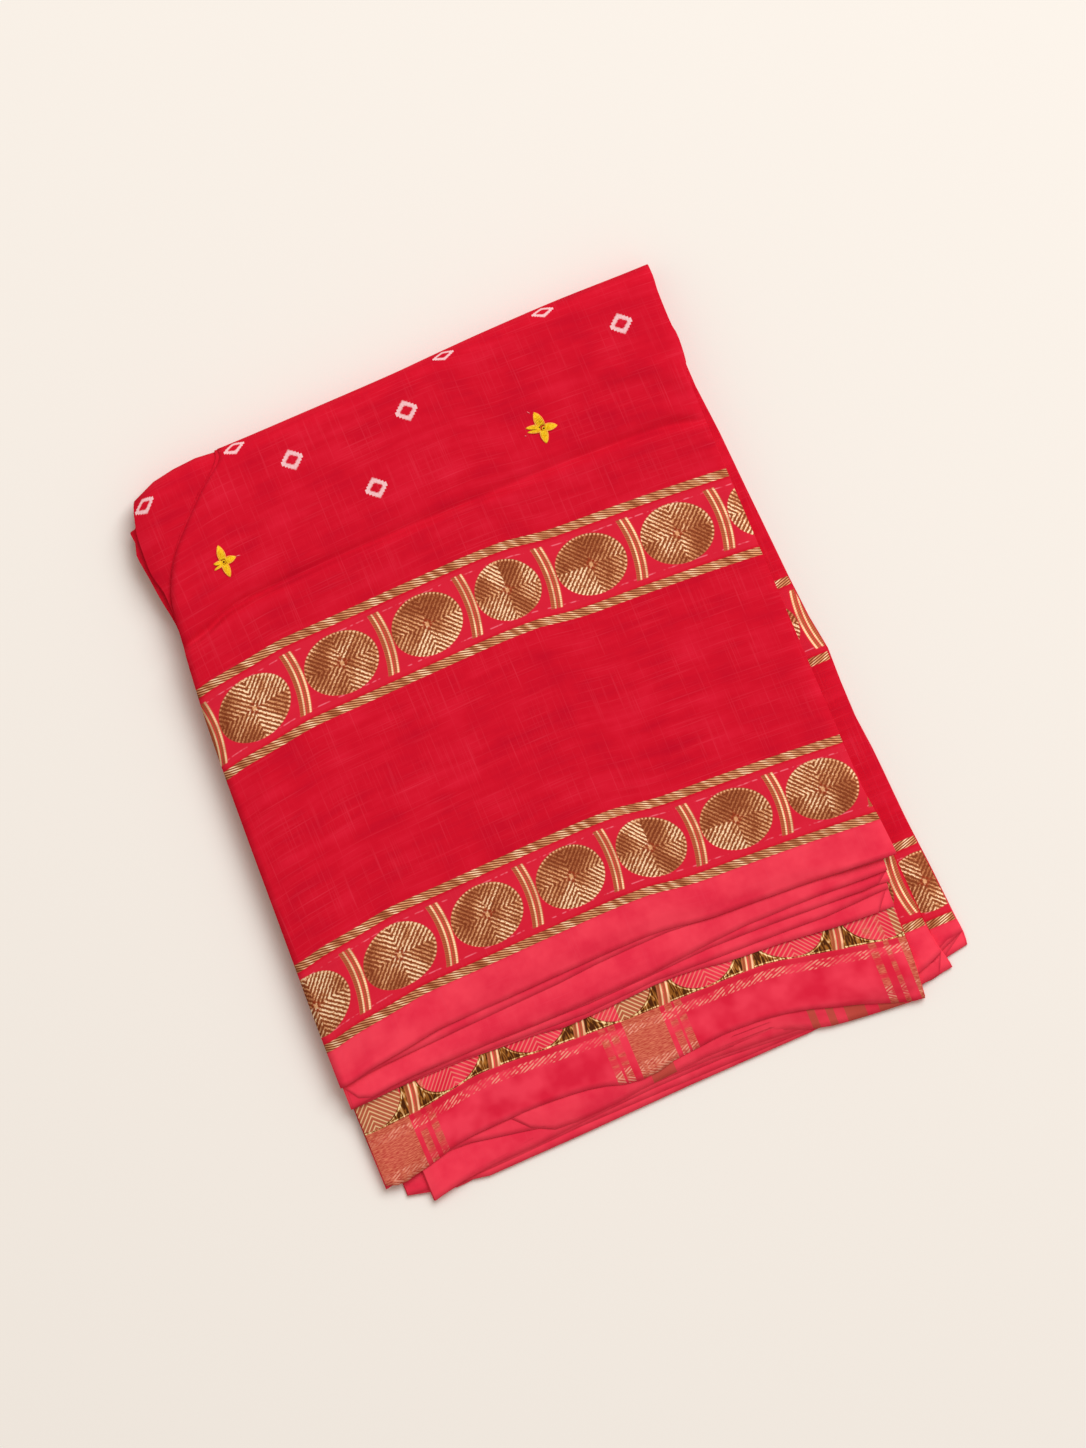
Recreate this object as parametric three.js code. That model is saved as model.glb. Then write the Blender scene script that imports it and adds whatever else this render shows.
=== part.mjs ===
// A sungudi cotton saree, folded flat as it is kept on a shelf.
// The long cloth goes back and forth across the packet in five plies, and the whole stack is then
// bent over once along the packet's top edge, so that ten layers lie on each other.
// Millimetres. +X runs across the packet, +Y towards the bent edge and +Z up from the table.

import * as THREE from 'three';

// One ply of the solid stands for five layers of the real cloth, pressed together.
const PLIES = 5;
const SHEET = 1.4;
const GAP_AT_BEND = 1.0;
const GAP_AT_SELVEDGE = 0.65;
const TAPER_LENGTH = 430;

// Distances down the packet, from its top line, at which the side edges are given.
const SIDE_STATIONS = [0, 15, 30, 50, 75, 95, 140, 250, 350, 430];

// The side edges of the zigzag in the order in which the cloth meets them, each as its place across
// the packet at every side station. The half above the bend lies on the half below it.
const SIDE_EDGES = [
  // The cut end of ply 1, at the left.
  {
    above: [-103, -119, -136, -152, -160, -161, -166.5, -171.5, -175, -176],
    below: [-103, -112, -124, -140, -152, -158, -161, -162, -163, -164],
  },
  // The fold from ply 1 to ply 2, at the right.
  {
    above: [155.5, 154.5, 153, 151.5, 151.5, 152, 153, 154, 157.5, 159],
    below: [155.5, 154.5, 154, 154.5, 156, 158, 160, 167, 172, 175],
  },
  // The fold from ply 2 to ply 3, at the left.
  {
    above: [-155, -159, -162, -163, -159.5, -160, -165, -170.5, -174, -175],
    below: [-155, -157, -158, -158, -158, -158, -157, -155, -152, -151],
  },
  // The fold from ply 3 to ply 4, at the right.
  {
    above: [153, 152, 151.5, 150.5, 150, 150, 150.5, 151, 149.5, 147],
    below: [153, 152, 151.5, 151.5, 152, 152, 152.5, 154, 158, 162.5],
  },
  // The fold from ply 4 to ply 5, at the left.
  {
    above: [-157, -162, -166, -166, -162.5, -160.5, -164.5, -170, -174, -175],
    below: [-157, -160, -163, -164, -161, -160, -164, -169, -173, -173],
  },
  // The cut end of ply 5, at the right.
  {
    above: [150, 149.5, 149, 149, 149, 149, 149, 149, 148, 143],
    below: [150, 149.5, 149, 149, 149, 149, 148, 146, 144, 143.5],
  },
];

// Places across the packet at which the top edge, the selvedges and the long valley are given.
const CROSS_STATIONS = [-175, -140, -98, -50, 0, 60, 100, 140, 175];

// How far the outermost ply bulges past the top line.
const TOP_BULGE = [-9, 0.8, 2.2, 3, 3.9, 6.3, 6.5, 6, 5.5];

// For each ply, how much shorter its bend stops than a tight one, and how far down the packet its
// selvedge lies, above the bend and below it.
const PLY_ENDS = [
  {
    slack: 0,
    above: [349, 345, 339.5, 340, 334, 340.5, 343.5, 345, 346],
    below: [417, 422, 424, 422, 420, 418.5, 416, 412, 408],
  },
  {
    slack: 0,
    above: [351, 348, 344, 346, 343, 348, 352, 355, 356],
    below: [425, 424, 425, 423, 420, 419, 417, 412.5, 408],
  },
  {
    slack: 1,
    above: [356, 354, 352, 352, 350, 354, 358, 361, 362],
    below: [424, 423, 422, 422, 421, 420.5, 420, 419.5, 416],
  },
  {
    slack: 4,
    above: [359, 358.5, 357.5, 357, 356.5, 359, 363, 367, 369],
    below: [413, 408, 407, 411, 414.5, 418.5, 422.5, 422, 415],
  },
  {
    slack: 6,
    above: [361, 361, 361, 362, 363, 364.5, 368.5, 373, 376],
    below: [412.5, 404, 401, 402, 405, 407, 413.5, 424.5, 427],
  },
];
const SELVEDGE_BLEND = 16; // how far from a fold two plies share one selvedge line

// The long valley across the upper half, and the lip that rises just below it.
const VALLEY_LINE = [96, 84.5, 79, 77.5, 75.5, 78.3, 81, 83.8, 84.5];
const VALLEY = { depth: 2.2, width: 4.5, above: 2.5 };
const LIP = { height: 1.5, width: 7, below: 5 };

// Short wrinkles near the right end of the bent edge, each from one point to another.
// The first is a pinched dip, the next two one bent ridge, and the last a low ridge by the valley.
const WRINKLES = [
  { from: [95, -27], to: [127, -37], width: 4.5, lift: -1.0 },
  { from: [112, -43], to: [140, -51], width: 5.5, lift: 1.2 },
  { from: [140, -51], to: [150, -72], width: 5.5, lift: 1.0 },
  { from: [140, -74], to: [151, -90], width: 4.5, lift: 0.8 },
];
const CALM_NEAR_BEND = 26; // the creases fade out over this length below the bend

// Columns of the mesh on each ply, as shares of its width, and the steps round each fold.
const PLY_COLUMNS = [
  [0, 0.06, 0.14, 0.24, 0.35, 0.46, 0.57, 0.67, 0.75, 0.82, 0.87, 0.91, 0.95, 1],
  [0, 0.08, 0.2, 0.38, 0.6, 0.8, 0.93, 1],
  [0, 0.12, 0.35, 0.62, 0.87, 1],
  [0, 0.1, 0.25, 0.45, 0.65, 0.83, 1],
  [0, 0.08, 0.2, 0.34, 0.5, 0.66, 0.82, 1],
];
const FOLD_STEPS = 3;
const BEND_STEPS = 7;
const SETTLING_PASSES = 3; // a point's place across and down depend on each other

// Rows of the mesh: shares of the way from a selvedge to the bend, then round it and back.
const ROWS_BELOW_BEND = [1, 0.985, 0.95, 0.89, 0.8, 0.62, 0.4, 0.2, 0.08];
const ROWS_TO_VALLEY = [0.22, 0.44, 0.64];
const ROWS_AT_VALLEY = [-11, -6, -2.5, 0.5, 3.5, 8, 15];
const ROWS_TO_SELVEDGE = [0.12, 0.26, 0.42, 0.58, 0.74, 0.88, 0.96, 1];

// A smooth curve through one value at each station.
function curveThrough(stations, values) {
  const curve = new THREE.CubicInterpolant(stations, values, 1, []);
  return (at) => curve.evaluate(THREE.MathUtils.clamp(at, stations[0], stations.at(-1)))[0];
}

const sideEdges = SIDE_EDGES.map(({ above, below }) => ({
  above: curveThrough(SIDE_STATIONS, above),
  below: curveThrough(SIDE_STATIONS, below),
  bend: () => above[0],
}));
const selvedges = PLY_ENDS.map(({ above, below }) => ({
  above: curveThrough(CROSS_STATIONS, above),
  below: curveThrough(CROSS_STATIONS, below),
}));
const topBulge = curveThrough(CROSS_STATIONS, TOP_BULGE);
const valleyLine = curveThrough(CROSS_STATIONS, VALLEY_LINE);

// The plies press closer together towards the selvedges.
function pitchAt(down) {
  const share = THREE.MathUtils.clamp(down / TAPER_LENGTH, 0, 1);
  return SHEET + THREE.MathUtils.lerp(GAP_AT_BEND, GAP_AT_SELVEDGE, share);
}

// Half the height of the packet: the level on which the bend turns.
function midHeight(down) {
  const pitch = pitchAt(down);
  return (PLIES - 1) * pitch + SHEET + (pitch - SHEET) / 2;
}

// The columns along the cloth: flat stretches of the plies and the turns between them.
function clothColumns() {
  const columns = [];
  PLY_COLUMNS.forEach((shares, ply) => {
    shares.forEach((along) => columns.push({ ply, along, turn: 0 }));
    if (ply === PLIES - 1) return;
    for (let step = 1; step < FOLD_STEPS; step += 1) {
      columns.push({ ply, along: 1, turn: step / FOLD_STEPS });
    }
  });
  return columns;
}

// The rows along the cloth's width, from the selvedge below round the bend to the one above.
function clothRows() {
  const rows = ROWS_BELOW_BEND.map((share) => ({ half: 'below', share }));
  for (let step = 0; step <= BEND_STEPS; step += 1) {
    rows.push({ half: 'bend', angle: Math.PI * (step / BEND_STEPS - 0.5) });
  }
  ROWS_TO_VALLEY.forEach((share) => rows.push({ half: 'above', toValley: share }));
  ROWS_AT_VALLEY.forEach((offset) => rows.push({ half: 'above', toValley: 1, offset }));
  ROWS_TO_SELVEDGE.forEach((share) => rows.push({ half: 'above', toSelvedge: share }));
  return rows;
}

// A point of the zigzag in the upright plane across the packet: its place across, its height in
// the stack, and the direction in which the cloth's right side faces.
function zigzagPoint({ ply, along, turn }, half, down) {
  const pitch = pitchAt(down);
  const radius = (pitch + SHEET) / 2;
  const onRight = ply % 2 === 0;
  const out = onRight ? 1 : -1;
  const start = sideEdges[ply][half](down) + (ply > 0 ? out * radius : 0);
  const end = sideEdges[ply + 1][half](down) - (ply < PLIES - 1 ? out * radius : 0);
  const angle = Math.PI * turn;
  return {
    across: THREE.MathUtils.lerp(start, end, along) + (out * pitch * Math.sin(angle)) / 2,
    height: ply * pitch + SHEET / 2 + (pitch * (1 - Math.cos(angle))) / 2,
    normal: [Math.sin(angle), -out * Math.cos(angle)],
  };
}

// How far down the selvedge of a ply lies at a place across, drawn together with its neighbour's
// close to the fold that joins them.
function selvedgeAt({ ply, turn }, half, across, down) {
  const own = selvedges[ply][half](across);
  const joined = [];
  if (ply > 0) joined.push({ edge: ply, other: ply - 1 });
  if (ply < PLIES - 1) joined.push({ edge: ply + 1, other: ply + 1 });
  return joined.reduce((value, { edge, other }) => {
    const reach = Math.abs(across - sideEdges[edge][half](down)) / SELVEDGE_BLEND;
    const pull = turn > 0 ? 0.5 : 0.5 * (1 - THREE.MathUtils.smoothstep(reach, 0, 1));
    return value + pull * (selvedges[other][half](across) - own);
  }, own);
}

// Where along the packet the bend of a ply is centred.
function bendCentre({ ply, turn }, across) {
  const slack = THREE.MathUtils.lerp(
    PLY_ENDS[ply].slack,
    PLY_ENDS[Math.min(ply + 1, PLIES - 1)].slack,
    turn,
  );
  return topBulge(across) - midHeight(0) - slack;
}

// How far down the packet a row lies in one column.
function rowDown(row, column, across, nominal) {
  const start = -bendCentre(column, across);
  const end = selvedgeAt(column, row.half, across, nominal);
  if (row.half === 'below') return THREE.MathUtils.lerp(start, end, row.share);
  const valley = valleyLine(across);
  const lastAtValley = valley + ROWS_AT_VALLEY.at(-1);
  if (row.toSelvedge !== undefined) {
    return THREE.MathUtils.lerp(lastAtValley, end, row.toSelvedge);
  }
  return THREE.MathUtils.lerp(start, valley, row.toValley) + (row.offset ?? 0);
}

// A smooth bump that is 1 at its middle and falls off with distance.
function bump(distance, width) {
  return Math.exp(-0.5 * (distance / width) ** 2);
}

// The rise or fall of the uppermost ply from the creases at one point.
function creaseLift(across, down) {
  const below = down - valleyLine(across);
  const valley = -VALLEY.depth * bump(below + VALLEY.above, VALLEY.width);
  const lip = LIP.height * bump(below - LIP.below, LIP.width);
  const point = new THREE.Vector3(across, -down, 0);
  const nearest = new THREE.Vector3();
  const wrinkles = WRINKLES.reduce((sum, { from, to, width, lift }) => {
    const line = new THREE.Line3(new THREE.Vector3(...from), new THREE.Vector3(...to));
    line.closestPointToPoint(point, true, nearest);
    return sum + lift * bump(nearest.distanceTo(point), width);
  }, 0);
  const calm = THREE.MathUtils.smoothstep(down, 0, CALM_NEAR_BEND);
  return (valley + lip + wrinkles) * calm;
}

// One corner of the folded cloth, on its right side (+1) or its wrong side (-1).
function clothPoint(column, row, side) {
  let down = 0;
  let point = zigzagPoint(column, row.half, down);
  for (let pass = 0; pass < SETTLING_PASSES && row.half !== 'bend'; pass += 1) {
    down = rowDown(row, column, point.across, down);
    point = zigzagPoint(column, row.half, down);
  }
  const across = point.across + (side * point.normal[0] * SHEET) / 2;
  const height = point.height + (side * point.normal[1] * SHEET) / 2;
  if (row.half === 'below') return new THREE.Vector3(across, -down, height);
  if (row.half === 'bend') {
    const turn = midHeight(0) - height;
    return new THREE.Vector3(
      across,
      bendCentre(column, point.across) + turn * Math.cos(row.angle),
      midHeight(0) + turn * Math.sin(row.angle),
    );
  }
  const share = 1 - point.height / midHeight(down);
  const lift = share * creaseLift(point.across, down);
  return new THREE.Vector3(across, -down, 2 * midHeight(down) - height + lift);
}

// The cloth as one thin closed solid: a flat box of many columns and rows, folded point by point.
function foldedCloth() {
  const columns = clothColumns();
  const rows = clothRows();
  const box = new THREE.BoxGeometry(1, 1, 1, columns.length - 1, rows.length - 1, 1);
  const place = box.getAttribute('position');
  for (let i = 0; i < place.count; i += 1) {
    const column = columns[Math.round((place.getX(i) + 0.5) * (columns.length - 1))];
    const row = rows[Math.round((0.5 - place.getY(i)) * (rows.length - 1))];
    const { x, y, z } = clothPoint(column, row, Math.sign(place.getZ(i)));
    place.setXYZ(i, x, y, z);
  }
  box.computeVertexNormals();
  return box;
}

const cottonRed = new THREE.MeshStandardMaterial({ color: '#d0122c', roughness: 0.85, metalness: 0 });

const cloth = new THREE.Mesh(foldedCloth(), cottonRed);
cloth.name = 'saree_cloth';

// The part's origin lies under the middle of the packet, on the table.
const reach = new THREE.Box3().setFromObject(cloth);
const middle = reach.getCenter(new THREE.Vector3());
cloth.position.set(-middle.x, -middle.y, -reach.min.z);

const saree = new THREE.Group();
saree.add(cloth);

export default saree;
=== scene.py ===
# %% [markdown]
# # A folded sungudi saree
# The real object is one length of thin red cotton with woven gold borders, folded flat as it is kept
# on a shelf. The cloth goes back and forth across the packet in many layers, and the whole stack is
# then bent over once along its top edge. This notebook loads the measured model as a frame, folds a
# thin sheet inside it, weaves its patterns with shader nodes, and sews on two small stars.

# %% Load the measured model
import bisect
import math
from collections import namedtuple

import bmesh
import bpy
from mathutils import Matrix, Vector, noise


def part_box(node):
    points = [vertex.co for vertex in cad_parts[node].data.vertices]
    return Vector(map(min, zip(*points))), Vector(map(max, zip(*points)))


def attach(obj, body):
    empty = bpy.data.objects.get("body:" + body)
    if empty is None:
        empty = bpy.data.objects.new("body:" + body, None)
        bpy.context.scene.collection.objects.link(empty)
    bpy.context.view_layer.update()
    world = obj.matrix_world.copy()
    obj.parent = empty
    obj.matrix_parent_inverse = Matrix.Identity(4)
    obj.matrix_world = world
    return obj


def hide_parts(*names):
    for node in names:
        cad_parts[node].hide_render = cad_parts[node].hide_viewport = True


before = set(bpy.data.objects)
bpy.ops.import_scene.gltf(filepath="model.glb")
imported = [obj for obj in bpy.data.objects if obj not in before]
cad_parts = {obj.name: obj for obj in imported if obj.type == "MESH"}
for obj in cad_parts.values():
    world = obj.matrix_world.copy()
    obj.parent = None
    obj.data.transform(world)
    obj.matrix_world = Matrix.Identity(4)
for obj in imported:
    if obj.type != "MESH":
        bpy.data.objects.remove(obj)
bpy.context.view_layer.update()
low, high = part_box("saree_cloth")
MM = 0.001
print("packet, mm:", [round(size / MM, 1) for size in high - low])

# %% [markdown]
# The picture is taken from straight above, and the packet lies turned in it by 22.5 degrees. A long
# lens keeps the packet's sides parallel, as they are in the picture. The camera is made first,
# because every later choice is judged through it.

# %% The camera
PICTURE = (1086, 1448)
PACKET_TURN = math.radians(22.5)
MM_PER_PIXEL = 0.55
LENS_MM = 200
SENSOR_MM = 36
VIEW_CENTRE = Vector((5.0, 2.7, 0)) * MM

camera_data = bpy.data.cameras.new("camera above")
camera_data.lens = LENS_MM
camera_data.sensor_width = SENSOR_MM
view_height = PICTURE[1] * MM_PER_PIXEL * MM
camera = bpy.data.objects.new("camera above", camera_data)
camera.location = VIEW_CENTRE + Vector((0, 0, view_height * LENS_MM / SENSOR_MM + high.z))
camera.rotation_euler = (0, 0, -PACKET_TURN)
bpy.context.collection.objects.link(camera)
bpy.context.scene.camera = camera
print("camera height, m:", round(camera.location.z, 2))

# %% [markdown]
# The edges of the folded layers are soft, uneven lines. Each is written as a few points measured
# along it, and a curve runs smoothly through them. The slopes are chosen so that the curve never
# swings past a point, because a selvedge that overshoots looks like a wave that isn't there.


# %% A smooth curve through given points
def smooth_curve(points):
    """A smooth curve through (place, value) points, held level beyond both ends."""
    places = [place for place, _ in points]
    values = [value for _, value in points]
    steps = list(zip(points, points[1:]))
    rises = [(after[1] - before[1]) / (after[0] - before[0]) for before, after in steps]
    slopes = [0.0]
    for before, after in zip(rises, rises[1:]):
        slopes.append(2 * before * after / (before + after) if before * after > 0 else 0.0)
    slopes.append(0.0)

    def at(place):
        if place <= places[0]:
            return values[0]
        if place >= places[-1]:
            return values[-1]
        i = bisect.bisect_right(places, place) - 1
        span = places[i + 1] - places[i]
        s = (place - places[i]) / span
        rise = values[i + 1] - values[i]
        bend = slopes[i] * (1 - s) - slopes[i + 1] * s
        return values[i] + rise * s * s * (3 - 2 * s) + span * s * (1 - s) * bend

    return at


def smooth_step(start, end, value):
    """0 before start, 1 after end, and a soft ramp between them."""
    share = min(max((value - start) / (end - start), 0.0), 1.0)
    return share * share * (3 - 2 * share)


def bump(distance, width):
    """A soft bump, 1 at its middle."""
    return math.exp(-0.5 * (distance / width) ** 2)


test_line = smooth_curve([(0, 0), (10, 5), (20, 5)])
print("halfway up the test line:", round(test_line(5), 2))

# %% [markdown]
# Lengths across the packet are measured from its middle, and lengths down it from its top line, both
# in millimetres. The cloth lies back and forth in 25 layers, so it has 26 edge places: the even ones
# at the left and the odd ones at the right. The layers don't line up, and their edges gather in
# three bunches on each side. The half of the cloth above the bend lies on the half below it. Each
# line is a list of (down, across), and the edges of a bunch stand back from it by small insets.

# %% The side edges of the layers
LAYERS = 25
LEFT_EDGES = [
    {
        "edges": 3,
        "above": [(0, -103), (15, -119), (30, -135), (43, -147), (55, -154), (65, -158), (85, -161),
                  (140, -166.5), (250, -171.5), (350, -175), (430, -176)],
        "below": [(0, -103), (30, -129), (50, -143), (75, -154), (95, -159), (140, -162), (430, -164)],
    },
    {
        "edges": 5,
        "above": [(0, -155), (8, -157), (25, -162), (45, -163), (62, -160), (80, -160), (140, -165),
                  (250, -170.5), (350, -174), (430, -175)],
        "below": [(0, -155), (30, -158), (140, -157.5), (250, -155), (350, -152), (430, -151.5)],
    },
    {
        "edges": 5,
        "above": [(0, -165.5), (20, -166), (28, -164.5), (34, -166.5), (48, -165), (62, -163.5),
                  (80, -161), (140, -164.5), (250, -170), (350, -174), (430, -175)],
        "below": [(0, -164), (50, -164), (95, -160), (140, -164), (250, -169), (350, -173),
                  (430, -173.5)],
    },
]
RIGHT_EDGES = [
    {
        "edges": 5,
        "above": [(0, 155.5), (12, 154.5), (28, 154.5), (36, 155.5), (50, 154.5), (59, 151.8),
                  (90, 151.8), (140, 152.3), (250, 153.5), (300, 154), (330, 157), (350, 158)],
        "below": [(0, 155.5), (55, 154), (75, 155.5), (85, 156.3), (100, 157.5), (132, 159),
                  (165, 161), (200, 163), (232, 167), (240, 166.3), (262, 166.2), (290, 168.5),
                  (330, 170.5), (360, 173), (390, 175), (402, 176), (410, 175)],
    },
    {
        "edges": 5,
        "above": [(0, 153), (30, 151.5), (75, 150), (140, 150.5), (250, 151), (350, 149.8),
                  (430, 149)],
        "below": [(0, 153), (50, 151.5), (140, 152.5), (250, 154), (346, 156.8), (380, 158), (400, 159.5),
                  (416, 162.8)],
    },
    {
        "edges": 3,
        "above": [(0, 150), (50, 149), (250, 149), (350, 147.5), (364, 146.5), (430, 145)],
        "below": [(0, 150), (50, 149), (300, 148.5), (372, 146), (400, 145), (415, 143.8), (430, 142.5)],
    },
]
EDGE_INSETS = [0.0, 1.1, 0.4, 1.5, 0.7]
STAGGERED_EDGES = (2, 4)
EDGE_STAGGER = 1.2  # how much further each of these folds reaches, up by the bend
STAGGER_FADES = (20, 75)


def edge_lines(bunches):
    """One pair of lines for each edge, in the order in which the cloth meets them."""
    lines = []
    for bunch in bunches:
        above, below = smooth_curve(bunch["above"]), smooth_curve(bunch["below"])
        for i in range(bunch["edges"]):
            lines.append({"above": above, "below": below, "inset": EDGE_INSETS[i]})
    return lines


left_lines = edge_lines(LEFT_EDGES)
right_lines = edge_lines(RIGHT_EDGES)


def edge_place(edge, half, down):
    """How far across the packet an edge lies."""
    line = (left_lines, right_lines)[edge % 2][edge // 2]
    inward = 1 if edge % 2 == 0 else -1
    place = line[half](down) + inward * line["inset"]
    if edge in STAGGERED_EDGES:
        place -= edge / 2 * EDGE_STAGGER * (1 - smooth_step(*STAGGER_FADES, down))
    return place


print("edges, left and right:", len(left_lines), len(right_lines))

# %% [markdown]
# The selvedges are the woven edges of the cloth. Above the bend they fan out into a few steps under
# the top layer, and below it they show again beyond those steps, wrong side up. Neighbouring layers
# that share a fold must meet there, so each line is drawn to the shorter one close to the fold.
# Each entry is a count of layers and their common line, a list of (across, down).

# %% The selvedges of the layers
SELVEDGES_ABOVE = [
    (5, [(-175, 348.7), (-154, 345), (-132, 342), (-110, 339), (-77, 338), (-33, 336.5), (5, 335.6),
         (22, 336), (36, 338), (50, 339.8), (77, 341), (110, 342.7), (143, 345), (157, 346)]),
    (5, [(-175, 348.9), (-157, 346.5), (-143, 345.5), (-110, 344), (-66, 342), (-44, 341.2),
         (-22, 339.3), (0, 338.3), (22, 337.7), (34, 338.6), (60, 340.2), (110, 342.9), (157, 346.3)]),
    (5, [(-175, 361.5), (-165, 360.3), (-154, 359), (-143, 357.5), (-99, 357), (-77, 357.5),
         (-44, 357.3), (-25, 356.8), (-11, 357.5), (0, 356.7), (11, 355), (33, 353.4), (66, 351),
         (99, 351), (150, 352.6)]),
    (5, [(-175, 361.8), (-165, 360.8), (-143, 358), (-99, 357.4), (-11, 357.9), (0, 357.4), (11, 356),
         (33, 355), (55, 354.8), (77, 355.6), (99, 356.7), (121, 357.5), (149, 358.7)]),
    (3, [(-175, 361.5), (-132, 359.3), (-88, 360), (-50, 362.5), (-22, 362), (0, 360.6), (16, 360),
         (27, 361), (44, 361.5), (88, 362.6), (110, 363.5), (132, 362.5), (147, 362)]),
    (2, [(-175, 362), (-154, 361), (-143, 360.3), (-110, 360.3), (-88, 361.5), (-66, 362.5),
         (-55, 363.5), (-47, 365), (-33, 364.5), (-11, 363.5), (11, 362.2), (22, 362.4), (33, 363.5),
         (44, 365.2), (55, 366.3), (77, 367.5), (99, 369.7), (110, 371), (121, 371.6), (144, 372.7)]),
]
SELVEDGES_BELOW = [
    (5, [(-164, 418), (-152, 418.5), (-137, 424.3), (-122, 425), (-93, 425), (-71, 424), (-33, 422),
         (11, 421), (55, 420), (82, 419.5), (110, 418), (143, 413.5), (162, 410), (175, 408)]),
    (5, [(-151, 426), (-140, 424), (-121, 421), (-85, 421), (-60, 419), (0, 418.5), (90, 418),
         (120, 415), (140, 411.5), (161, 406), (165, 401.5), (171, 400), (176, 400)]),
    (5, [(-151, 426.2), (-140, 423.5), (-121, 420.5), (-85, 419.5), (-60, 417.5), (-38, 416),
         (0, 414.5), (55, 414), (70, 418), (90, 419), (146, 418.8), (163, 416.3)]),
    (5, [(-174, 410), (-140, 401), (-129, 402), (-115, 405.5), (-104, 410.5), (-88, 410.5), (-77, 412),
         (-50, 413), (50, 412), (75, 417), (93, 420), (110, 421), (135, 415), (146, 410.5), (157, 409),
         (160, 406)]),
    (4, [(-174, 408), (-140, 400), (-99, 397), (-89, 400), (-85, 412), (-77, 414.5), (-66, 416),
         (-44, 415.5), (-22, 413), (0, 411.5), (22, 410), (44, 411), (55, 411.5), (66, 413.5),
         (74, 416.5), (82, 419.5), (93, 421.5), (121, 424.3), (142, 425.5)]),
    (1, [(-173, 411.5), (-165, 411), (-154, 408.5), (-146, 407), (-132, 403), (-121, 401), (-99, 400),
         (-82, 399.5), (-60, 400.5), (-41, 403), (-33, 406), (-18, 408), (-7, 407), (0, 405), (16, 403.5),
         (33, 402), (55, 403), (77, 406.5), (93, 411.5), (110, 416.5), (126, 422.5), (142, 426.3)]),
]
SELVEDGE_INSETS = [0.0, 8.5, 5.5, 13.0, 7.0]
INSETS_END = (88, 143)  # between these places, left and right, the hidden selvedges come forward
CORNER_BLEND = 9.0


def selvedge_lines(bunches, first_on_top):
    """One (line, inset) pair for each layer. The layer that shows has no inset."""
    lines = []
    for count, points in bunches:
        line = smooth_curve(points)
        insets = SELVEDGE_INSETS[:count]
        lines += [(line, inset) for inset in (insets if first_on_top else insets[::-1])]
    return lines


selvedges = {
    "above": selvedge_lines(SELVEDGES_ABOVE, True),
    "below": selvedge_lines(SELVEDGES_BELOW, False),
}


def selvedge_line(layer, half, across):
    """The line of one selvedge. Hidden ones draw back in the middle, but not at the folds."""
    line, inset = selvedges[half][layer]
    return line(across) - inset * (1 - smooth_step(*INSETS_END, abs(across)))


def selvedge_place(layer, half, across, down):
    """How far down the packet the selvedge of a layer lies."""
    own = selvedge_line(layer, half, across)
    place = own
    for edge, other in ((layer, layer - 1), (layer + 1, layer + 1)):
        if 0 <= other < LAYERS:
            near = 1 - smooth_step(0, CORNER_BLEND, abs(across - edge_place(edge, half, down)))
            place += near * min(selvedge_line(other, half, across) - own, 0)
    return place


print("layers above and below:", len(selvedges["above"]), len(selvedges["below"]))

# %% [markdown]
# Each layer has its own level in the stack. The stack is thickest at the bend, where the cloth
# springs back, and presses flat towards the selvedges. Real layers are about a quarter of a
# millimetre thick, so the sheet is drawn at that thickness with a little air between the layers, and
# more air beside the layers that show, which leaves room for their creases.

# %% The levels in the stack
CLOTH_THICKNESS = 0.22
CREASE_ROOM = 2.2
HALF_AT_BEND = ((high.z - low.z) / MM - CREASE_ROOM) / 2
HALF_AT_SELVEDGE = HALF_AT_BEND - 1.6
TAPER_LENGTH = 430
LOWEST_MIDDLE = CLOTH_THICKNESS * 0.7
AIR = {0: 1.8, 4: 1.15, 9: 1.15, 14: 1.15, 19: 1.15, 22: 1.3, 23: 1.8}

level_steps = [AIR.get(layer, 1.0) for layer in range(LAYERS)]
stack_levels = [sum(level_steps[:layer]) / sum(level_steps) for layer in range(LAYERS)]


def half_height(down):
    """The height on which the bend turns, half the packet's height."""
    share = min(max(down / TAPER_LENGTH, 0), 1)
    return HALF_AT_BEND + share * (HALF_AT_SELVEDGE - HALF_AT_BEND)


def level(layer, down):
    """The height of a layer's middle in the half below the bend."""
    room = half_height(down) - CLOTH_THICKNESS
    return LOWEST_MIDDLE + room * stack_levels[layer]


print("levels of the first layers, mm:", [round(level(layer, 0), 2) for layer in range(4)])

# %% [markdown]
# Near the selvedges the cloth has nothing to hold it up. It lies flatter there, and each layer
# drapes down over the ends of the layers under it. The ones that show keep a hair's breadth above
# the hidden ones, and the lowest selvedges curl up a little.

# %% Draping over the selvedges
SELVEDGE_PRESS = 0.25
PRESSED_ALONG = {"above": (295, 350), "below": (350, 420)}
DRAPE_FROM, DRAPE_LENGTH = 318.0, 5.0
SHOWN_LIFT = {"above": 0.16, "below": 0.36}
EDGE_CURL, CURLED_ALONG = 1.5, (385, 425)


def pressed(half, down):
    """The share of its height that a half keeps. Its selvedges lie flatter than its middle."""
    return 1 - SELVEDGE_PRESS * smooth_step(*PRESSED_ALONG[half], down)


def drape(layer, half, across, down):
    """How far a layer sinks where the layers under it have ended."""
    if down < DRAPE_FROM:
        return 0.0
    under = range(layer + 1, LAYERS) if half == "above" else range(layer)
    sunk = 0.0
    for other in under:
        own_step = level(other, down) - level(other - 1, down) if other > 0 else 0.0
        past = down - selvedge_line(other, half, across)
        sunk += own_step * smooth_step(0, DRAPE_LENGTH, past)
    if selvedges[half][layer][1] == 0:
        sunk -= SHOWN_LIFT[half] * smooth_step(0, 1, sunk)
    return sunk * pressed(half, down)


print("height kept at the upper selvedges:", pressed("above", 360))

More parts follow.
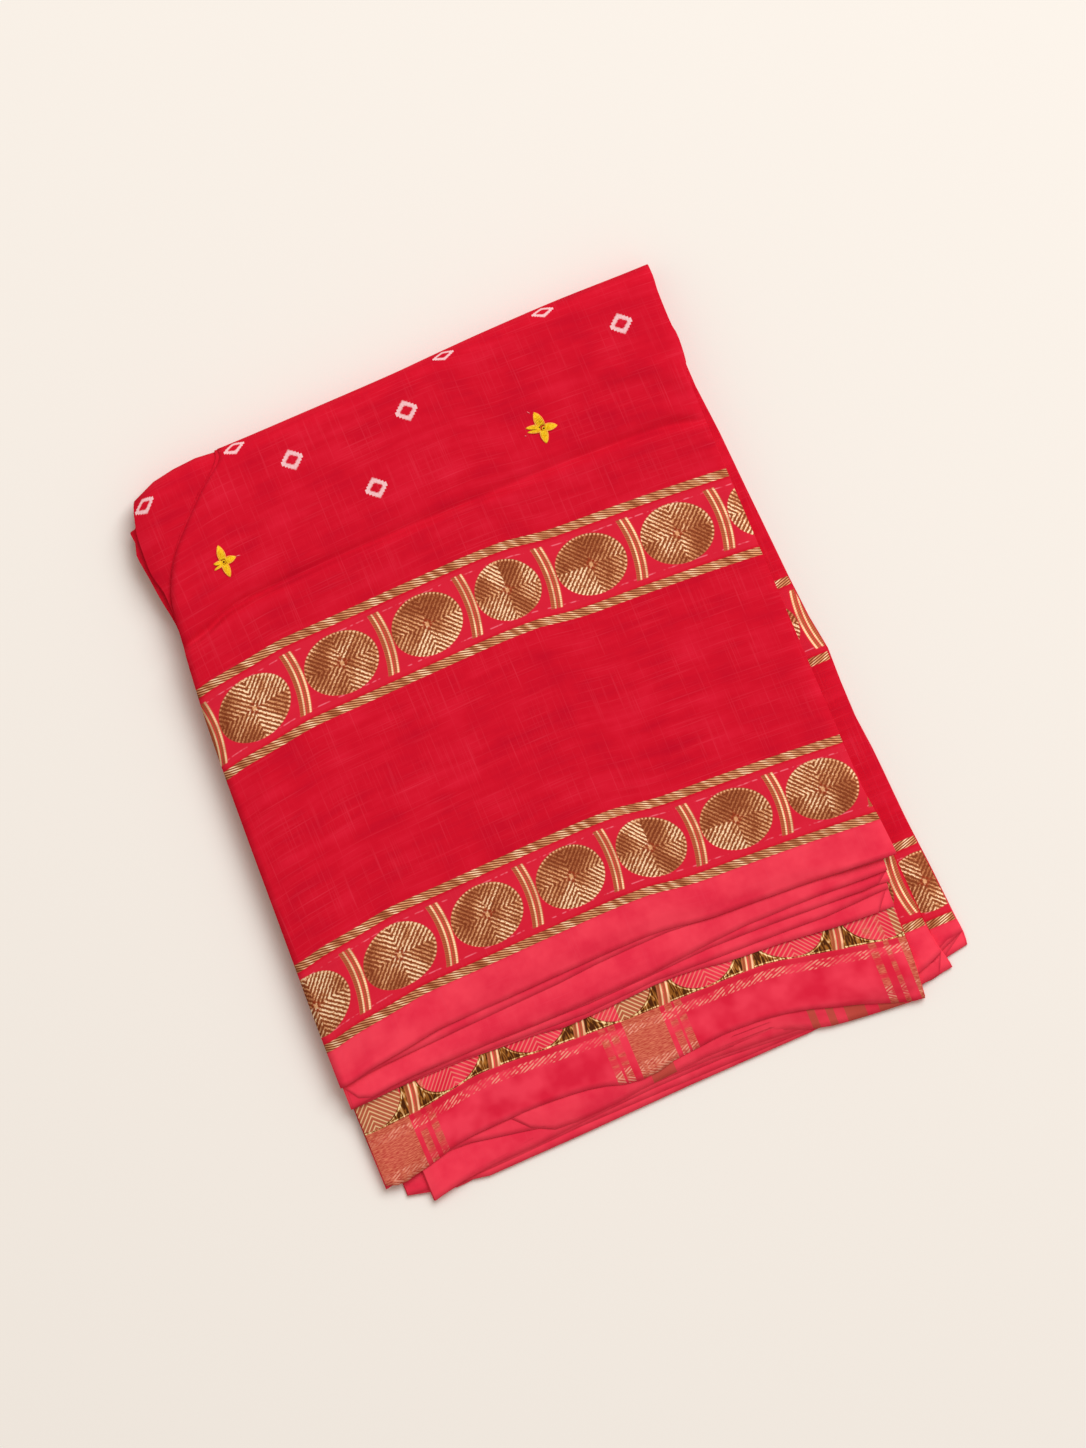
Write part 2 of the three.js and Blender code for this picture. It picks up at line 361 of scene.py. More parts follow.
# %% [markdown]
# Near the bend the first five layers stop short at the left. They are pressed tightly together
# there, and the layers under them fill the space that they leave, so the surface runs on almost level
# and becomes a clear edge only further down. This "closing up" lifts the deeper layers by what is
# missing above them.

# %% Closing up beside the short layers
CLOSED_TO = 30.0
OPEN_FROM = 84.0
TIGHT_STEP = CLOTH_THICKNESS + 0.05
TIGHT_FROM, LOOSE_FROM = -98.0, -62.0
SHORT_LAYERS = 5


def closing(layer, across, down, half):
    """How far a layer moves outwards because the layers above it are pressed flat or have ended."""
    share = 1 - smooth_step(CLOSED_TO, OPEN_FROM, down)
    if share <= 0 or across > LOOSE_FROM:
        return 0.0
    short = min(layer, SHORT_LAYERS)
    tight = 1 - smooth_step(TIGHT_FROM, LOOSE_FROM, across)
    lift = tight * (level(short, down) - level(0, down) - short * TIGHT_STEP)
    # Places across the packet, each with the number of layers that have ended to the right of it.
    first, second, third = (edge_place(edge, half, down) for edge in (0, 2, 4))
    steps = [(third - 5, 5), (third - 1, 3), (second - 0.6, 1), (first - 0.6, 0)]
    missing = 0.0
    if across <= steps[0][0]:
        missing = steps[0][1]
    else:
        for (left, more), (right, less) in zip(steps, steps[1:]):
            if left < across <= right:
                missing = more + (less - more) * (across - left) / (right - left)
    return share * (lift + min(missing, layer) * TIGHT_STEP)


print("closing up at the bend, mm:", round(closing(5, -150, 0, "above"), 2))

# %% [markdown]
# The top line isn't straight: it bulges a little at the right and drops at the left corner. The
# deeper layers turn in a tighter bend that stops short of it, and at the left corner ten of them
# drop back further, which leaves the small dark step beside the lobe.

# %% The top line
TOP_LINE = smooth_curve([(-175, -9), (-160, -7.5), (-155, -5.0), (-148, -1.4), (-130, 2.4),
                         (-110, 3.6), (-98, 3.4), (-50, 3.9), (0, 4.7), (26, 5.8), (60, 7.0),
                         (100, 7.6), (150, 6.9)])
SLACK = smooth_curve([(0, 0), (9, 0), (12, 1), (17, 4), (24, 6)])
DEEP_LAYER = 15
DEEP_DROP, DROP_ENDS = 5.5, (-158, -150)


def bend_centre(layer, across):
    """How far along the packet the bend of a layer is centred."""
    drop = DEEP_DROP * (1 - smooth_step(*DROP_ENDS, across)) if layer >= DEEP_LAYER else 0
    return TOP_LINE(across) - HALF_AT_BEND - SLACK(layer) - drop


print("bend centres of the first and last layer:", bend_centre(0, 0), bend_centre(24, 0))

# %% [markdown]
# The creases are lifts added to the flat layers. The long valley across the packet runs through the
# whole upper half and dies out with depth, and a soft lip swells beside it. Short wrinkles and the
# soft unevenness of thin cotton belong to the top layer alone, so they only ever rise, and never
# sink into the layer below. Each has a line of (across, down), a width and a lift.

# %% The creases
VALLEY_LINE = smooth_curve([(-175, 93), (-158, 89.9), (-144, 86.1), (-132, 81.3), (-110, 78.9),
                            (-88, 77.7), (-55, 76.6), (66, 76.6), (100, 77.6), (126, 79.2), (150, 84),
                            (160, 86)])
VALLEY_DEPTH = smooth_curve([(-130, 3.2), (-60, 2.5), (0, 2.1)])
LIP_LIFT = smooth_curve([(-130, 2.2), (-60, 1.8), (0, 1.4)])
VALLEY_BOTTOM, LIP_TOP = 0.9, 5.0
WRINKLES = [
    ([(103, 30), (115, 34), (128, 39)], 6.5, 1.1),
    ([(112, 42), (132, 45.5), (143, 52), (152, 63)], 3.6, 1.2),
    ([(128, 72), (144, 77.5), (152, 88)], 3.4, 0.9),
    ([(60, 70), (90, 66), (120, 68)], 7, 0.35),
    ([(-150, 120), (-120, 112), (-80, 110)], 9, 0.3),
    ([(120, 200), (140, 230), (150, 262)], 9, 0.5),
    ([(-172, 300), (-150, 322), (-120, 330)], 8, 0.4),
    ([(104, 31), (116, 35), (128, 39)], 1.7, -0.95),
    ([(128, 75), (142, 81), (150, 89)], 1.8, -0.4),
]
UNEVENNESS = 0.32
CALM_NEAR_BEND = 24.0
ROLLED_EDGE = 0.9  # the rise of the free edge at the left


def distance_to_line(across, down, line):
    """How far a point lies from a bent line."""
    point = Vector((across, down))
    least = 1e9
    for start, end in zip(line, line[1:]):
        start, end = Vector(start), Vector(end)
        along = end - start
        share = min(max((point - start).dot(along) / along.length_squared, 0), 1)
        least = min(least, (start + share * along - point).length)
    return least


def shared_lift(across, down):
    """The long valley and its lip, which run through the whole upper half."""
    from_bottom = down - VALLEY_LINE(across) - VALLEY_BOTTOM
    wall = bump(from_bottom, 1.4 if from_bottom > 0 else 2.2)
    slope = bump(from_bottom, 1.4 if from_bottom > 0 else 9.0)
    valley = -VALLEY_DEPTH(across) * (0.75 * wall + 0.25 * slope)
    from_lip = down - VALLEY_LINE(across) - LIP_TOP
    lip = LIP_LIFT(across) * bump(from_lip, 2.2 if from_lip < 0 else 13)
    return (valley + lip) * smooth_step(0, CALM_NEAR_BEND, down)


def top_lift(across, down):
    """The rise of the top layer alone."""
    calm = smooth_step(0, CALM_NEAR_BEND, down)
    lift = UNEVENNESS * (1 + noise.noise(Vector((across / 34, down / 26, 3.1))))
    lift += 0.5 * UNEVENNESS * (1 + noise.noise(Vector((across / 13, down / 11, 7.7))))
    for line, width, height in WRINKLES:
        lift += height * bump(distance_to_line(across, down, line), width)
    from_edge = across - edge_place(0, "above", down)
    rolled = smooth_step(25, 60, down) * (1 - smooth_step(110, 160, down))
    lift += ROLLED_EDGE * rolled * bump(from_edge - 3.5, 3.0)
    return max(lift, 0) * calm


print("lift in the valley, mm:", round(shared_lift(0, 75.5), 2))

# %% [markdown]
# Where a layer shows beyond the one above it, it has room to wave. The strips of the fan wave a
# little, and the wrong side that shows at the lower edge of the packet is the most uneven of all.
# At the side edges the folds are pressed, so the stack is a little lower there, like a shoulder.

# %% The waves of the strips that show
STRIPS_ABOVE = {5: 0, 10: 5, 15: 10, 20: 15, 23: 20}  # each with the layer that it shows beyond
LAST, BEFORE_LAST = 24, 23
STRIP_WAVE = 0.16
LONG_WAVE, SHORT_WAVE = 0.9, 0.4
SHOULDER, LEFT_SHOULDER, RIGHT_SHOULDER = 0.14, (145, 177), (146, 166)


def strip_lift(layer, half, across, down):
    """The wave of a layer where it shows beyond the layers above it."""
    if half == "above" and layer in STRIPS_ABOVE:
        shown = down - selvedge_line(STRIPS_ABOVE[layer], "above", across)
        wave = STRIP_WAVE * (1 + noise.noise(Vector((across / 30, layer * 5.3, 1.7))))
        return wave * smooth_step(0, 6, shown)
    if half == "below" and layer == LAST:
        shown = down - selvedge_line(BEFORE_LAST, "above", across)
        wave = LONG_WAVE * (1 + noise.noise(Vector((across / 24, down / 21, 9.2))))
        wave += SHORT_WAVE * (1 + noise.noise(Vector((across / 9, down / 10, 4.4))))
        to_edge = selvedge_line(LAST, "below", across) - down
        return wave * smooth_step(-2, 12, shown) * (0.15 + 0.85 * smooth_step(0, 14, to_edge))
    return 0.0


def settled(across):
    """The share of its height that the stack keeps near its side edges."""
    left = smooth_step(*LEFT_SHOULDER, -across)
    right = smooth_step(*RIGHT_SHOULDER, across)
    return 1 - SHOULDER * (left + right)


print("height kept at the left edge:", settled(-175))

# %% [markdown]
# The sheet starts flat: a grid with one column for each step along the cloth and one row for each
# step across it. Layers that show get many columns, and hidden ones only a few. Every corner then
# gets its place in the fold from its column and row. This keeps the whole saree one closed sheet,
# as the real one is, and each face still knows which layer it belongs to.

# %% Columns and rows
COLUMNS_PER_LAYER = {0: 58, 4: 9, 5: 20, 9: 12, 10: 18, 14: 14, 15: 16, 19: 12, 20: 14, 23: 30,
                     24: 40}
HIDDEN_COLUMNS = 7
FEW_COLUMNS = 20
CROWDING, SLIGHT_CROWDING, CROWDING_AT_SELVEDGE = 0.72, 0.25, 0.45
FOLD_STEPS = 3
ROWS_BELOW = [1, 0.992, 0.982, 0.971, 0.96, 0.948, 0.936, 0.924, 0.912, 0.9, 0.888, 0.876, 0.864,
              0.852, 0.838, 0.822, 0.8, 0.77, 0.735, 0.7, 0.65, 0.6, 0.55, 0.5, 0.44, 0.37, 0.3, 0.22,
              0.15, 0.09, 0.04]
BEND_STEPS = 11
ROWS_TO_VALLEY = 15
ROWS_AT_VALLEY = [-12, -8, -5, -3, -1.5, -0.4, 0.5, 1.3, 2.1, 3, 4, 5.3, 7.5, 11, 16]
ROWS_TO_SELVEDGE = 46


def crowded(count, crowding):
    """Shares from 0 to 1 that lie closer together at both ends."""
    even = [i / (count - 1) for i in range(count)]
    return [share - crowding * math.sin(2 * math.pi * share) / (2 * math.pi) for share in even]


columns = []
for layer in range(LAYERS):
    count = COLUMNS_PER_LAYER.get(layer, HIDDEN_COLUMNS)
    crowding = CROWDING if count < FEW_COLUMNS else SLIGHT_CROWDING
    columns += [(layer, along, 0.0) for along in crowded(count, crowding)]
    if layer < LAYERS - 1:
        columns += [(layer, 1.0, step / FOLD_STEPS) for step in range(1, FOLD_STEPS)]

rows = [("below", share) for share in ROWS_BELOW]
rows += [("bend", math.pi * (step / BEND_STEPS - 0.5)) for step in range(BEND_STEPS + 1)]
rows += [("to valley", (step + 1) / (ROWS_TO_VALLEY + 1)) for step in range(ROWS_TO_VALLEY)]
rows += [("at valley", offset) for offset in ROWS_AT_VALLEY]
to_selvedge = crowded(ROWS_TO_SELVEDGE + 1, CROWDING_AT_SELVEDGE)[1:]
rows += [("to selvedge", share) for share in to_selvedge]
print("columns, rows and triangles:", len(columns), len(rows), 4 * len(columns) * len(rows))

# %% [markdown]
# One corner of the sheet finds its place in two steps. First comes the zigzag seen from the front:
# how far across, how high, and which way the right side faces. A fold is half a turn between two
# layers, and its first half belongs to the layer before it.


# %% The zigzag of the layers
def zigzag(column, half, down):
    """Place across, height and facing of a column in the upright section through the packet."""
    layer, along, turn = column
    out = 1 if layer % 2 == 0 else -1
    here = level(layer, down)
    before = level(layer - 1, down) if layer > 0 else here
    after = level(layer + 1, down) if layer < LAYERS - 1 else here
    start = edge_place(layer, half, down)
    end = edge_place(layer + 1, half, down)
    if layer > 0:
        start += out * ((here - before) + CLOTH_THICKNESS) / 2
    if layer < LAYERS - 1:
        end -= out * ((after - here) + CLOTH_THICKNESS) / 2
    angle = math.pi * turn
    radius = (after - here) / 2
    across = start + (end - start) * along + out * radius * math.sin(angle)
    height = here + radius * (1 - math.cos(angle))
    return across, height, (math.sin(angle), -out * math.cos(angle))


def owner(column):
    """The layer that a column belongs to. Past the middle of a fold it is the next one."""
    return column[0] if column[2] < 0.5 else column[0] + 1


print("first corner, across and up, mm:", [round(v, 2) for v in zigzag(columns[0], "below", 0)[:2]])

# %% [markdown]
# Then that zigzag is laid below the bend, carried round it, or laid on top, where all heights are
# turned over. The edges depend on how far down a corner lies, and that on the edges, so a corner
# finds its place in a few rounds. Last, the lifts of the creases, the curl and the strips are added.

# %% The place of one corner
ROUNDS = 3
UPRIGHT = 0.9  # the edges change sides over this angle of the bend, either way from its middle


def row_down(layer, row, across, down):
    """How far down the packet a row lies in one column."""
    kind, value = row
    start = -bend_centre(layer, across)
    if kind == "below":
        end = selvedge_place(layer, "below", across, down)
        return start + (end - start) * value
    valley = VALLEY_LINE(across)
    if kind == "to valley":
        return start + (valley + ROWS_AT_VALLEY[0] - start) * value
    if kind == "at valley":
        return valley + value
    end = selvedge_place(layer, "above", across, down)
    start = valley + ROWS_AT_VALLEY[-1]
    return start + (end - start) * value


def bend_corner(column, angle):
    """Place, facing and place in the weave of a corner that lies in the bend."""
    layer = owner(column)
    across, height, facing = zigzag(column, "above", 0)
    for _ in range(ROUNDS):
        radius = HALF_AT_BEND - height
        down = max(-bend_centre(layer, across) - radius * math.cos(angle), 0)
        lower, upper = (zigzag(column, half, down)[0] for half in ("below", "above"))
        across = lower + (upper - lower) * smooth_step(-UPRIGHT, UPRIGHT, angle)
    height -= closing(layer, across, 0, "above")
    radius = HALF_AT_BEND - height
    centre = bend_centre(layer, across)
    top = HALF_AT_BEND + radius * math.sin(angle)
    place = Vector((across, centre + radius * math.cos(angle), top * settled(across)))
    facing = Vector((facing[0], -facing[1] * math.cos(angle), -facing[1] * math.sin(angle)))
    up = centre + radius * (math.pi / 2 - angle)
    return {"place": place, "facing": facing, "across": across, "up": up, "down": -centre}


def corner(column, row):
    """Place, facing and place in the weave of any corner. Up counts along the cloth."""
    kind, value = row
    if kind == "bend":
        return bend_corner(column, value)
    layer = owner(column)
    half = "below" if kind == "below" else "above"
    down = 0.0
    across, height, facing = zigzag(column, half, down)
    for _ in range(ROUNDS):
        down = row_down(layer, row, across, down)
        across, height, facing = zigzag(column, half, down)
    height -= closing(layer, across, down, half)
    if half == "below":
        up = 0.0
        height = height * pressed(half, down) - drape(layer, half, across, down)
        height += EDGE_CURL * smooth_step(*CURLED_ALONG, down)
        facing = Vector((facing[0], 0, facing[1]))
    else:
        up = -down
        facing = Vector((facing[0], 0, -facing[1]))
        middle = half_height(down)
        lift = (1 - height / middle) * shared_lift(across, down)
        height = middle + (middle - height) * pressed(half, down) + lift
        height -= drape(layer, half, across, down)
        if layer == 0:
            height += top_lift(across, down)
    height += strip_lift(layer, half, across, down)
    place = Vector((across, -down, height * settled(across)))
    return {"place": place, "facing": facing, "across": across, "up": up, "down": down}


corners = [[corner(column, row) for row in rows] for column in columns]
top = max(spot["place"].y for line in corners for spot in line)
shift = Vector((0, high.y / MM - top, 0))
print("shift of the sheet, mm:", round(shift.y, 2))

# %% [markdown]
# Now the sheet itself. It starts as a flat grid that gets its thickness while it is still flat,
# which is exact and easy, and its corners are then moved into the fold. The packet's top line goes
# where the measured model has it.

# %% The folded sheet
sheet = bmesh.new()
bmesh.ops.create_grid(sheet, x_segments=len(columns) - 1, y_segments=len(rows) - 1, size=0.5)
bmesh.ops.solidify(sheet, geom=sheet.faces[:], thickness=0.1)
sheet_middle = sum(vert.co.z for vert in sheet.verts) / len(sheet.verts)
RIGHT_SIDE, WRONG_SIDE = 1, -1
grid_spots = []
for vert in sheet.verts:
    column = round((vert.co.x + 0.5) * (len(columns) - 1))
    row = round((vert.co.y + 0.5) * (len(rows) - 1))
    side = RIGHT_SIDE if vert.co.z > sheet_middle else WRONG_SIDE
    grid_spots.append((column, row, side))
for vert, (column, row, side) in zip(sheet.verts, grid_spots):
    spot = corners[column][row]
    vert.co = (spot["place"] + shift + spot["facing"] * (side * CLOTH_THICKNESS / 2)) * MM
bmesh.ops.recalc_face_normals(sheet, faces=sheet.faces[:])
print("faces of the sheet:", len(sheet.faces))

# %% [markdown]
# A pattern that is woven in follows the threads, so it is drawn on the cloth's own measures: how far
# along the cloth, and how far in from the selvedge. The first layer was pulled a little while it was
# folded, and its circles stand slightly closer together at the right. Layers that show have their
# own starts, and the hidden ones simply follow on.

# %% Places in the weave
REPEAT = 50.0
LAYER_LENGTH = 7 * REPEAT
WEAVE_STARTS = {9: 166.7, 19: 178.2, 24: 165.3}
STRAIGHT_SELVEDGES = {9: 413.4, 19: 410.0}
FIRST_LAYER_STRETCH = 0.9915
FIRST_LAYER_PULL = smooth_curve([(-170, 0), (-116.6, -2.9), (-63.3, -5.8), (-12.7, -6),
                                 (33.6, -1.9), (83.1, -1), (133.7, -1.1), (183, 0)])
END_ROPE = smooth_curve([(-175, 384), (-140, 382), (-98, 376.2), (-50, 378.4), (0, 380),
                         (60, 380.3), (100, 387.2), (140, 395), (175, 400)])
ROPE_INSET = 23.4


def weave_along(layer, across):
    """How far along the cloth a place on a layer lies."""
    if layer == 0:
        along = (across + 170) * FIRST_LAYER_STRETCH + FIRST_LAYER_PULL(across)
    elif layer % 2 == 0:
        along = WEAVE_STARTS.get(layer, 170) + across
    else:
        along = WEAVE_STARTS.get(layer, 180) - across
    return layer * LAYER_LENGTH + along


def weave_inward(layer, half, spot):
    """How far in from the selvedge a place lies: above the bend positive, below it negative."""
    across = spot["across"]
    if half == "above":
        return selvedge_line(layer, "above", across) + spot["up"]
    if layer == LAST:
        return spot["down"] - END_ROPE(across) - ROPE_INSET
    if layer in STRAIGHT_SELVEDGES:
        return spot["down"] - STRAIGHT_SELVEDGES[layer]
    return spot["down"] - selvedge_line(layer, "below", across)


print("first circle of the top layer at:", round(weave_along(0, -170), 1))

# %% [markdown]
# The white diamonds are tied and dyed by hand: the cloth is gathered round a stick and bound before
# it goes into the red. Each has its own small map centred on it, so that one drawing in the
# material serves them all, also on the bend and on the corner that shows. Some were pulled out of
# square, which their slope and height say.

# %% Places of the dye marks
Mark = namedtuple("Mark", "layer across up slope height")
DYE_MARKS = [
    Mark(5, -151.8, -10.5, 0.36, 0.78),
    Mark(0, -94.0, 0.9, 0.16, 0.74),
    Mark(0, -67.0, -18.4, 0.04, 0.98),
    Mark(0, -30.0, -50.4, 0.0, 1.0),
    Mark(0, 1.5, -17.5, 0.0, 1.0),
    Mark(0, 31.8, 4.0, 0.0, 0.6),
    Mark(0, 91.5, 5.0, -0.08, 0.65),
    Mark(0, 129.0, -18.5, 0.0, 1.0),
]
MARK_REACH = 11.0
FAR_AWAY = (1.0, 1.0)


def nearest_mark(layer, across, up):
    """The dye mark that a face may show a part of."""
    for mark in DYE_MARKS:
        near = abs(mark.across - across) < MARK_REACH and abs(mark.up - up) < MARK_REACH
        if mark.layer == layer and near:
            return mark
    return None


print("dye marks:", len(DYE_MARKS))

# %% [markdown]
# The sheet gets one more map, for one picture that can hold all its colours. The parts that show
# get most of the room, and the layers inside the stack share one corner of it.

# %% Places in the picture of the colours
WIDE = (-177.0, 177.0)
Part = namedtuple("Part", "layer side half across run room")
PICTURE_PARTS = [
    Part(0, RIGHT_SIDE, "above", WIDE, (-352.0, 28.0), (0.002, 0.252, 0.7, 0.998)),
    Part(24, WRONG_SIDE, "below", WIDE, (330.0, 430.0), (0.002, 0.06, 0.7, 0.245)),
    Part(23, RIGHT_SIDE, "below", WIDE, (384.0, 430.0), (0.002, 0.002, 0.7, 0.054)),
    Part(0, RIGHT_SIDE, "below", WIDE, (0.0, 430.0), (0.71, 0.68, 0.998, 0.998)),
    Part(5, WRONG_SIDE, "above", (-170.0, -95.0), (-110.0, 28.0), (0.82, 0.58, 0.9, 0.672)),
    Part(9, RIGHT_SIDE, "below", (134.0, 180.0), (0.0, 420.0), (0.71, 0.002, 0.765, 0.672)),
    Part(19, RIGHT_SIDE, "below", (124.0, 170.0), (0.0, 422.0), (0.77, 0.002, 0.81, 0.672)),
    Part(5, WRONG_SIDE, "above", WIDE, (-352.0, -325.0), (0.82, 0.53, 0.998, 0.57)),
    Part(10, RIGHT_SIDE, "above", WIDE, (-364.0, -325.0), (0.82, 0.48, 0.998, 0.52)),
    Part(15, WRONG_SIDE, "above", WIDE, (-364.0, -335.0), (0.82, 0.44, 0.998, 0.475)),
    Part(20, RIGHT_SIDE, "above", WIDE, (-366.0, -338.0), (0.82, 0.4, 0.998, 0.435)),
    Part(23, WRONG_SIDE, "above", WIDE, (-375.0, -345.0), (0.82, 0.36, 0.998, 0.395)),
]
INNER_ROOM = (0.82, 0.002, 0.998, 0.352)
layer_columns = [[i for i, entry in enumerate(columns) if owner(entry) == n] for n in range(LAYERS)]


def share_of(value, ends):
    """How far a value lies from one end to the other, from 0 to 1."""
    return min(max((value - ends[0]) / (ends[1] - ends[0]), 0.0), 1.0)


def picture_part(layer, side, half, across, run):
    """The part of the picture of the colours that a face belongs to, if it has one of its own."""
    for part in PICTURE_PARTS:
        (left, right), (start, end) = part.across, part.run
        if part[:3] == (layer, side, half) and left < across < right and start < run < end:
            return part
    return None


def place_in(room, a, b):
    """The place in a room of the picture that lies at two shares of its width and height."""
    left, bottom, right, top = room
    return left + (right - left) * a, bottom + (top - bottom) * b


def inner_place(layer, side, half, column, row):
    """A place in the shared corner: each layer's side and half has a small cell there."""
    number = layer * 4 + (side > 0) * 2 + (half == "above")
    first, last = layer_columns[layer][0], layer_columns[layer][-1]
    below = len(ROWS_BELOW)
    row_ends = (below - 1, len(rows) - 1) if half == "above" else (0, below)
    a = 0.08 + 0.84 * share_of(column, (first - 1, last + 1))
    b = 0.06 + 0.88 * share_of(row, row_ends)
    return place_in(INNER_ROOM, (number % 10 + a) / 10, (number // 10 + b) / 10)


print("parts with their own room:", len(PICTURE_PARTS))

# %% [markdown]
# All three maps are written face by face. A face takes its layer, its half and its side from its
# corners, so no pattern is ever stretched across a fold.

# %% The maps of the sheet
RIGHT_FINISH, WRONG_FINISH, PLAIN_FINISH = 0, 1, 2
PATTERNED = {(layer, RIGHT_SIDE): RIGHT_FINISH for layer in (0, 9, 19, 23)}
PATTERNED[LAST, WRONG_SIDE] = WRONG_FINISH
weave_map = sheet.loops.layers.uv.new("weave")
mark_map = sheet.loops.layers.uv.new("dye")
picture_map = sheet.loops.layers.uv.new("OFBake")
for face in sheet.faces:
    spots = [grid_spots[vert.index] for vert in face.verts]
    sides = {side for *_, side in spots}
    side = WRONG_SIDE if sides == {WRONG_SIDE} else RIGHT_SIDE  # the rim goes with the right side
    layer = owner(columns[min(spot[0] for spot in spots)])
    half = "below" if min(spot[1] for spot in spots) < len(ROWS_BELOW) else "above"
    run_name = "up" if half == "above" else "down"
    middle_across = sum(corners[c][r]["across"] for c, r, _ in spots) / len(spots)
    middle_run = sum(corners[c][r][run_name] for c, r, _ in spots) / len(spots)
    mark = nearest_mark(layer, middle_across, middle_run) if half == "above" else None
    part = picture_part(layer, side, half, middle_across, middle_run)
    face.material_index = PATTERNED.get((layer, side), PLAIN_FINISH)
    face.smooth = True
    for loop, (c, r, _) in zip(face.loops, spots):
        spot = corners[c][r]
        across, run = spot["across"], spot[run_name]
        inward = weave_inward(layer, half, spot)
        loop[weave_map].uv = (weave_along(layer, across) * MM, inward * MM)
        loop[mark_map].uv = FAR_AWAY
        if mark:
            aside = across - mark.across
            raised = (run - mark.up - mark.slope * aside) / mark.height
            loop[mark_map].uv = (aside * MM, raised * MM)
        if part:
            shares = share_of(across, part.across), share_of(run, part.run)
            loop[picture_map].uv = place_in(part.room, *shares)
        else:
            loop[picture_map].uv = inner_place(layer, side, half, c, r)
print("maps:", list(sheet.loops.layers.uv.keys()))

cloth = bpy.data.objects.new("folded_cloth", bpy.data.meshes.new("folded_cloth"))
sheet.to_mesh(cloth.data)
sheet.free()
cloth.data.uv_layers["weave"].active_render = True
bpy.context.collection.objects.link(cloth)
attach(cloth, "root")
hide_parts("saree_cloth")

# %% [markdown]
# Materials are node trees, and a few small functions serve them all. One turns the sRGB hex colours
# that a picture shows into Blender's linear ones, one feeds a socket, and one adds a node with its
# settings and links. A kind in capitals, such as ADD, is an operation of the Math node.


# %% Colours and nodes
def linear(hex_colour, alpha=1.0):
    """An sRGB colour such as #D4142F as the linear RGBA that a node takes."""
    channels = [int(hex_colour[i : i + 2], 16) / 255 for i in (1, 3, 5)]
    channels = [c / 12.92 if c <= 0.04045 else ((c + 0.055) / 1.055) ** 2.4 for c in channels]
    return (*channels, alpha)


def feed_socket(tree, socket, feed):
    """Give a socket a plain value, an output, or the first free output of a node."""
    if isinstance(feed, bpy.types.Node):
        feed = next(output for output in feed.outputs if output.enabled)
    if isinstance(feed, bpy.types.NodeSocket):
        tree.links.new(feed, socket)
    else:
        socket.default_value = feed


def add(tree, kind, *feeds, named=None, stops=(), **settings):
    """Add a node. Feeds go to its sockets in order or by name, and stops to a colour ramp."""
    if kind.isupper():
        kind, settings["operation"] = "Math", kind
    node = tree.nodes.new("ShaderNode" + kind)
    for name, value in settings.items():
        setattr(node, name, value)
    sockets = [socket for socket in node.inputs if socket.enabled]
    for socket, feed in zip(sockets, feeds):
        feed_socket(tree, socket, feed)
    for name, feed in (named or {}).items():
        feed_socket(tree, node.inputs[name], feed)
    for i, (place, colour) in enumerate(stops):
        elements = node.color_ramp.elements
        element = elements[i] if i < 2 else elements.new(place)
        element.position = place
        element.color = colour
    return node


print("cream of the zari:", [round(c, 2) for c in linear("#FFE3B0")])

# %% [markdown]
# Every pattern on the cloth is built of soft-edged stripes and of uneven patches. A stripe is white
# near a line and black away from it, and its edge is as soft as a thread is thick, which keeps it
# clean from a distance. Patches come from a noise, cut off between two of its levels.

# %% Stripes, patches and places
THREAD_SOFTNESS = 0.16


def stripe(tree, offset, half_width, soft=THREAD_SOFTNESS, middle=0.0):
    """White where an offset, in millimetres, is within half a width of the stripe's middle."""
    if middle:
        offset = add(tree, "SUBTRACT", offset, middle)
    distance = add(tree, "ABSOLUTE", offset)
    return add(tree, "MapRange", distance, half_width + soft, half_width - soft, 0.0, 1.0)


def repeated(tree, offset, pitch):
    """Millimetres from the nearest of many lines that stand one pitch apart."""
    return add(tree, "WRAP", offset, pitch / 2, -pitch / 2)


def patches(tree, place, scale, low, high, least=0.0, most=1.0, detail=1.0, roughness=0.5):
    """Uneven patches, from least to most. Three scales stretch them along the threads."""
    if isinstance(scale, tuple):
        place = add(tree, "VectorMath", place, scale, operation="MULTIPLY")
        scale = 1.0
    cloud = add(tree, "TexNoise", place, scale, detail, roughness)
    return add(tree, "MapRange", cloud, low, high, least, most)


def both(tree, one, other):
    """White where both masks are."""
    return add(tree, "MULTIPLY", one, other)


def weave_places(tree):
    """Millimetres along the cloth and millimetres in from the selvedge."""
    metres = add(tree, "UVMap", uv_map="weave")
    places = add(tree, "VectorMath", metres, (1000, 1000, 1000), operation="MULTIPLY")
    axes = add(tree, "SeparateXYZ", places)
    return axes.outputs["X"], add(tree, "ABSOLUTE", axes.outputs["Y"])


# %% [markdown]
# The ground is handloom cotton: fine, matt, dyed crimson, and a little uneven, because handspun
# threads take the dye unevenly. Now and then a thread is thicker for a few centimetres, which
# shows as a faint pale line along or across the cloth. The plain strip at the selvedge is woven
# pinker. Single threads, about 0.3 mm apart, are too fine for the picture, so only the thicker
# ones are drawn.

# %% The cotton ground
SLUB_LENGTH, SLUB_WIDTH = 38.0, 0.75
SLUB_STRENGTH = 0.24
SELVEDGE_STRIP = 20.8
GROUND_STOPS = [(0.3, linear("#C20C28")), (0.7, linear("#D91B35")), (0.5, linear("#CF112A"))]
SELVEDGE_STOPS = [(0.35, linear("#E62F4A")), (0.62, linear("#F54359"))]
SLUB_PALE = linear("#EC4A62")


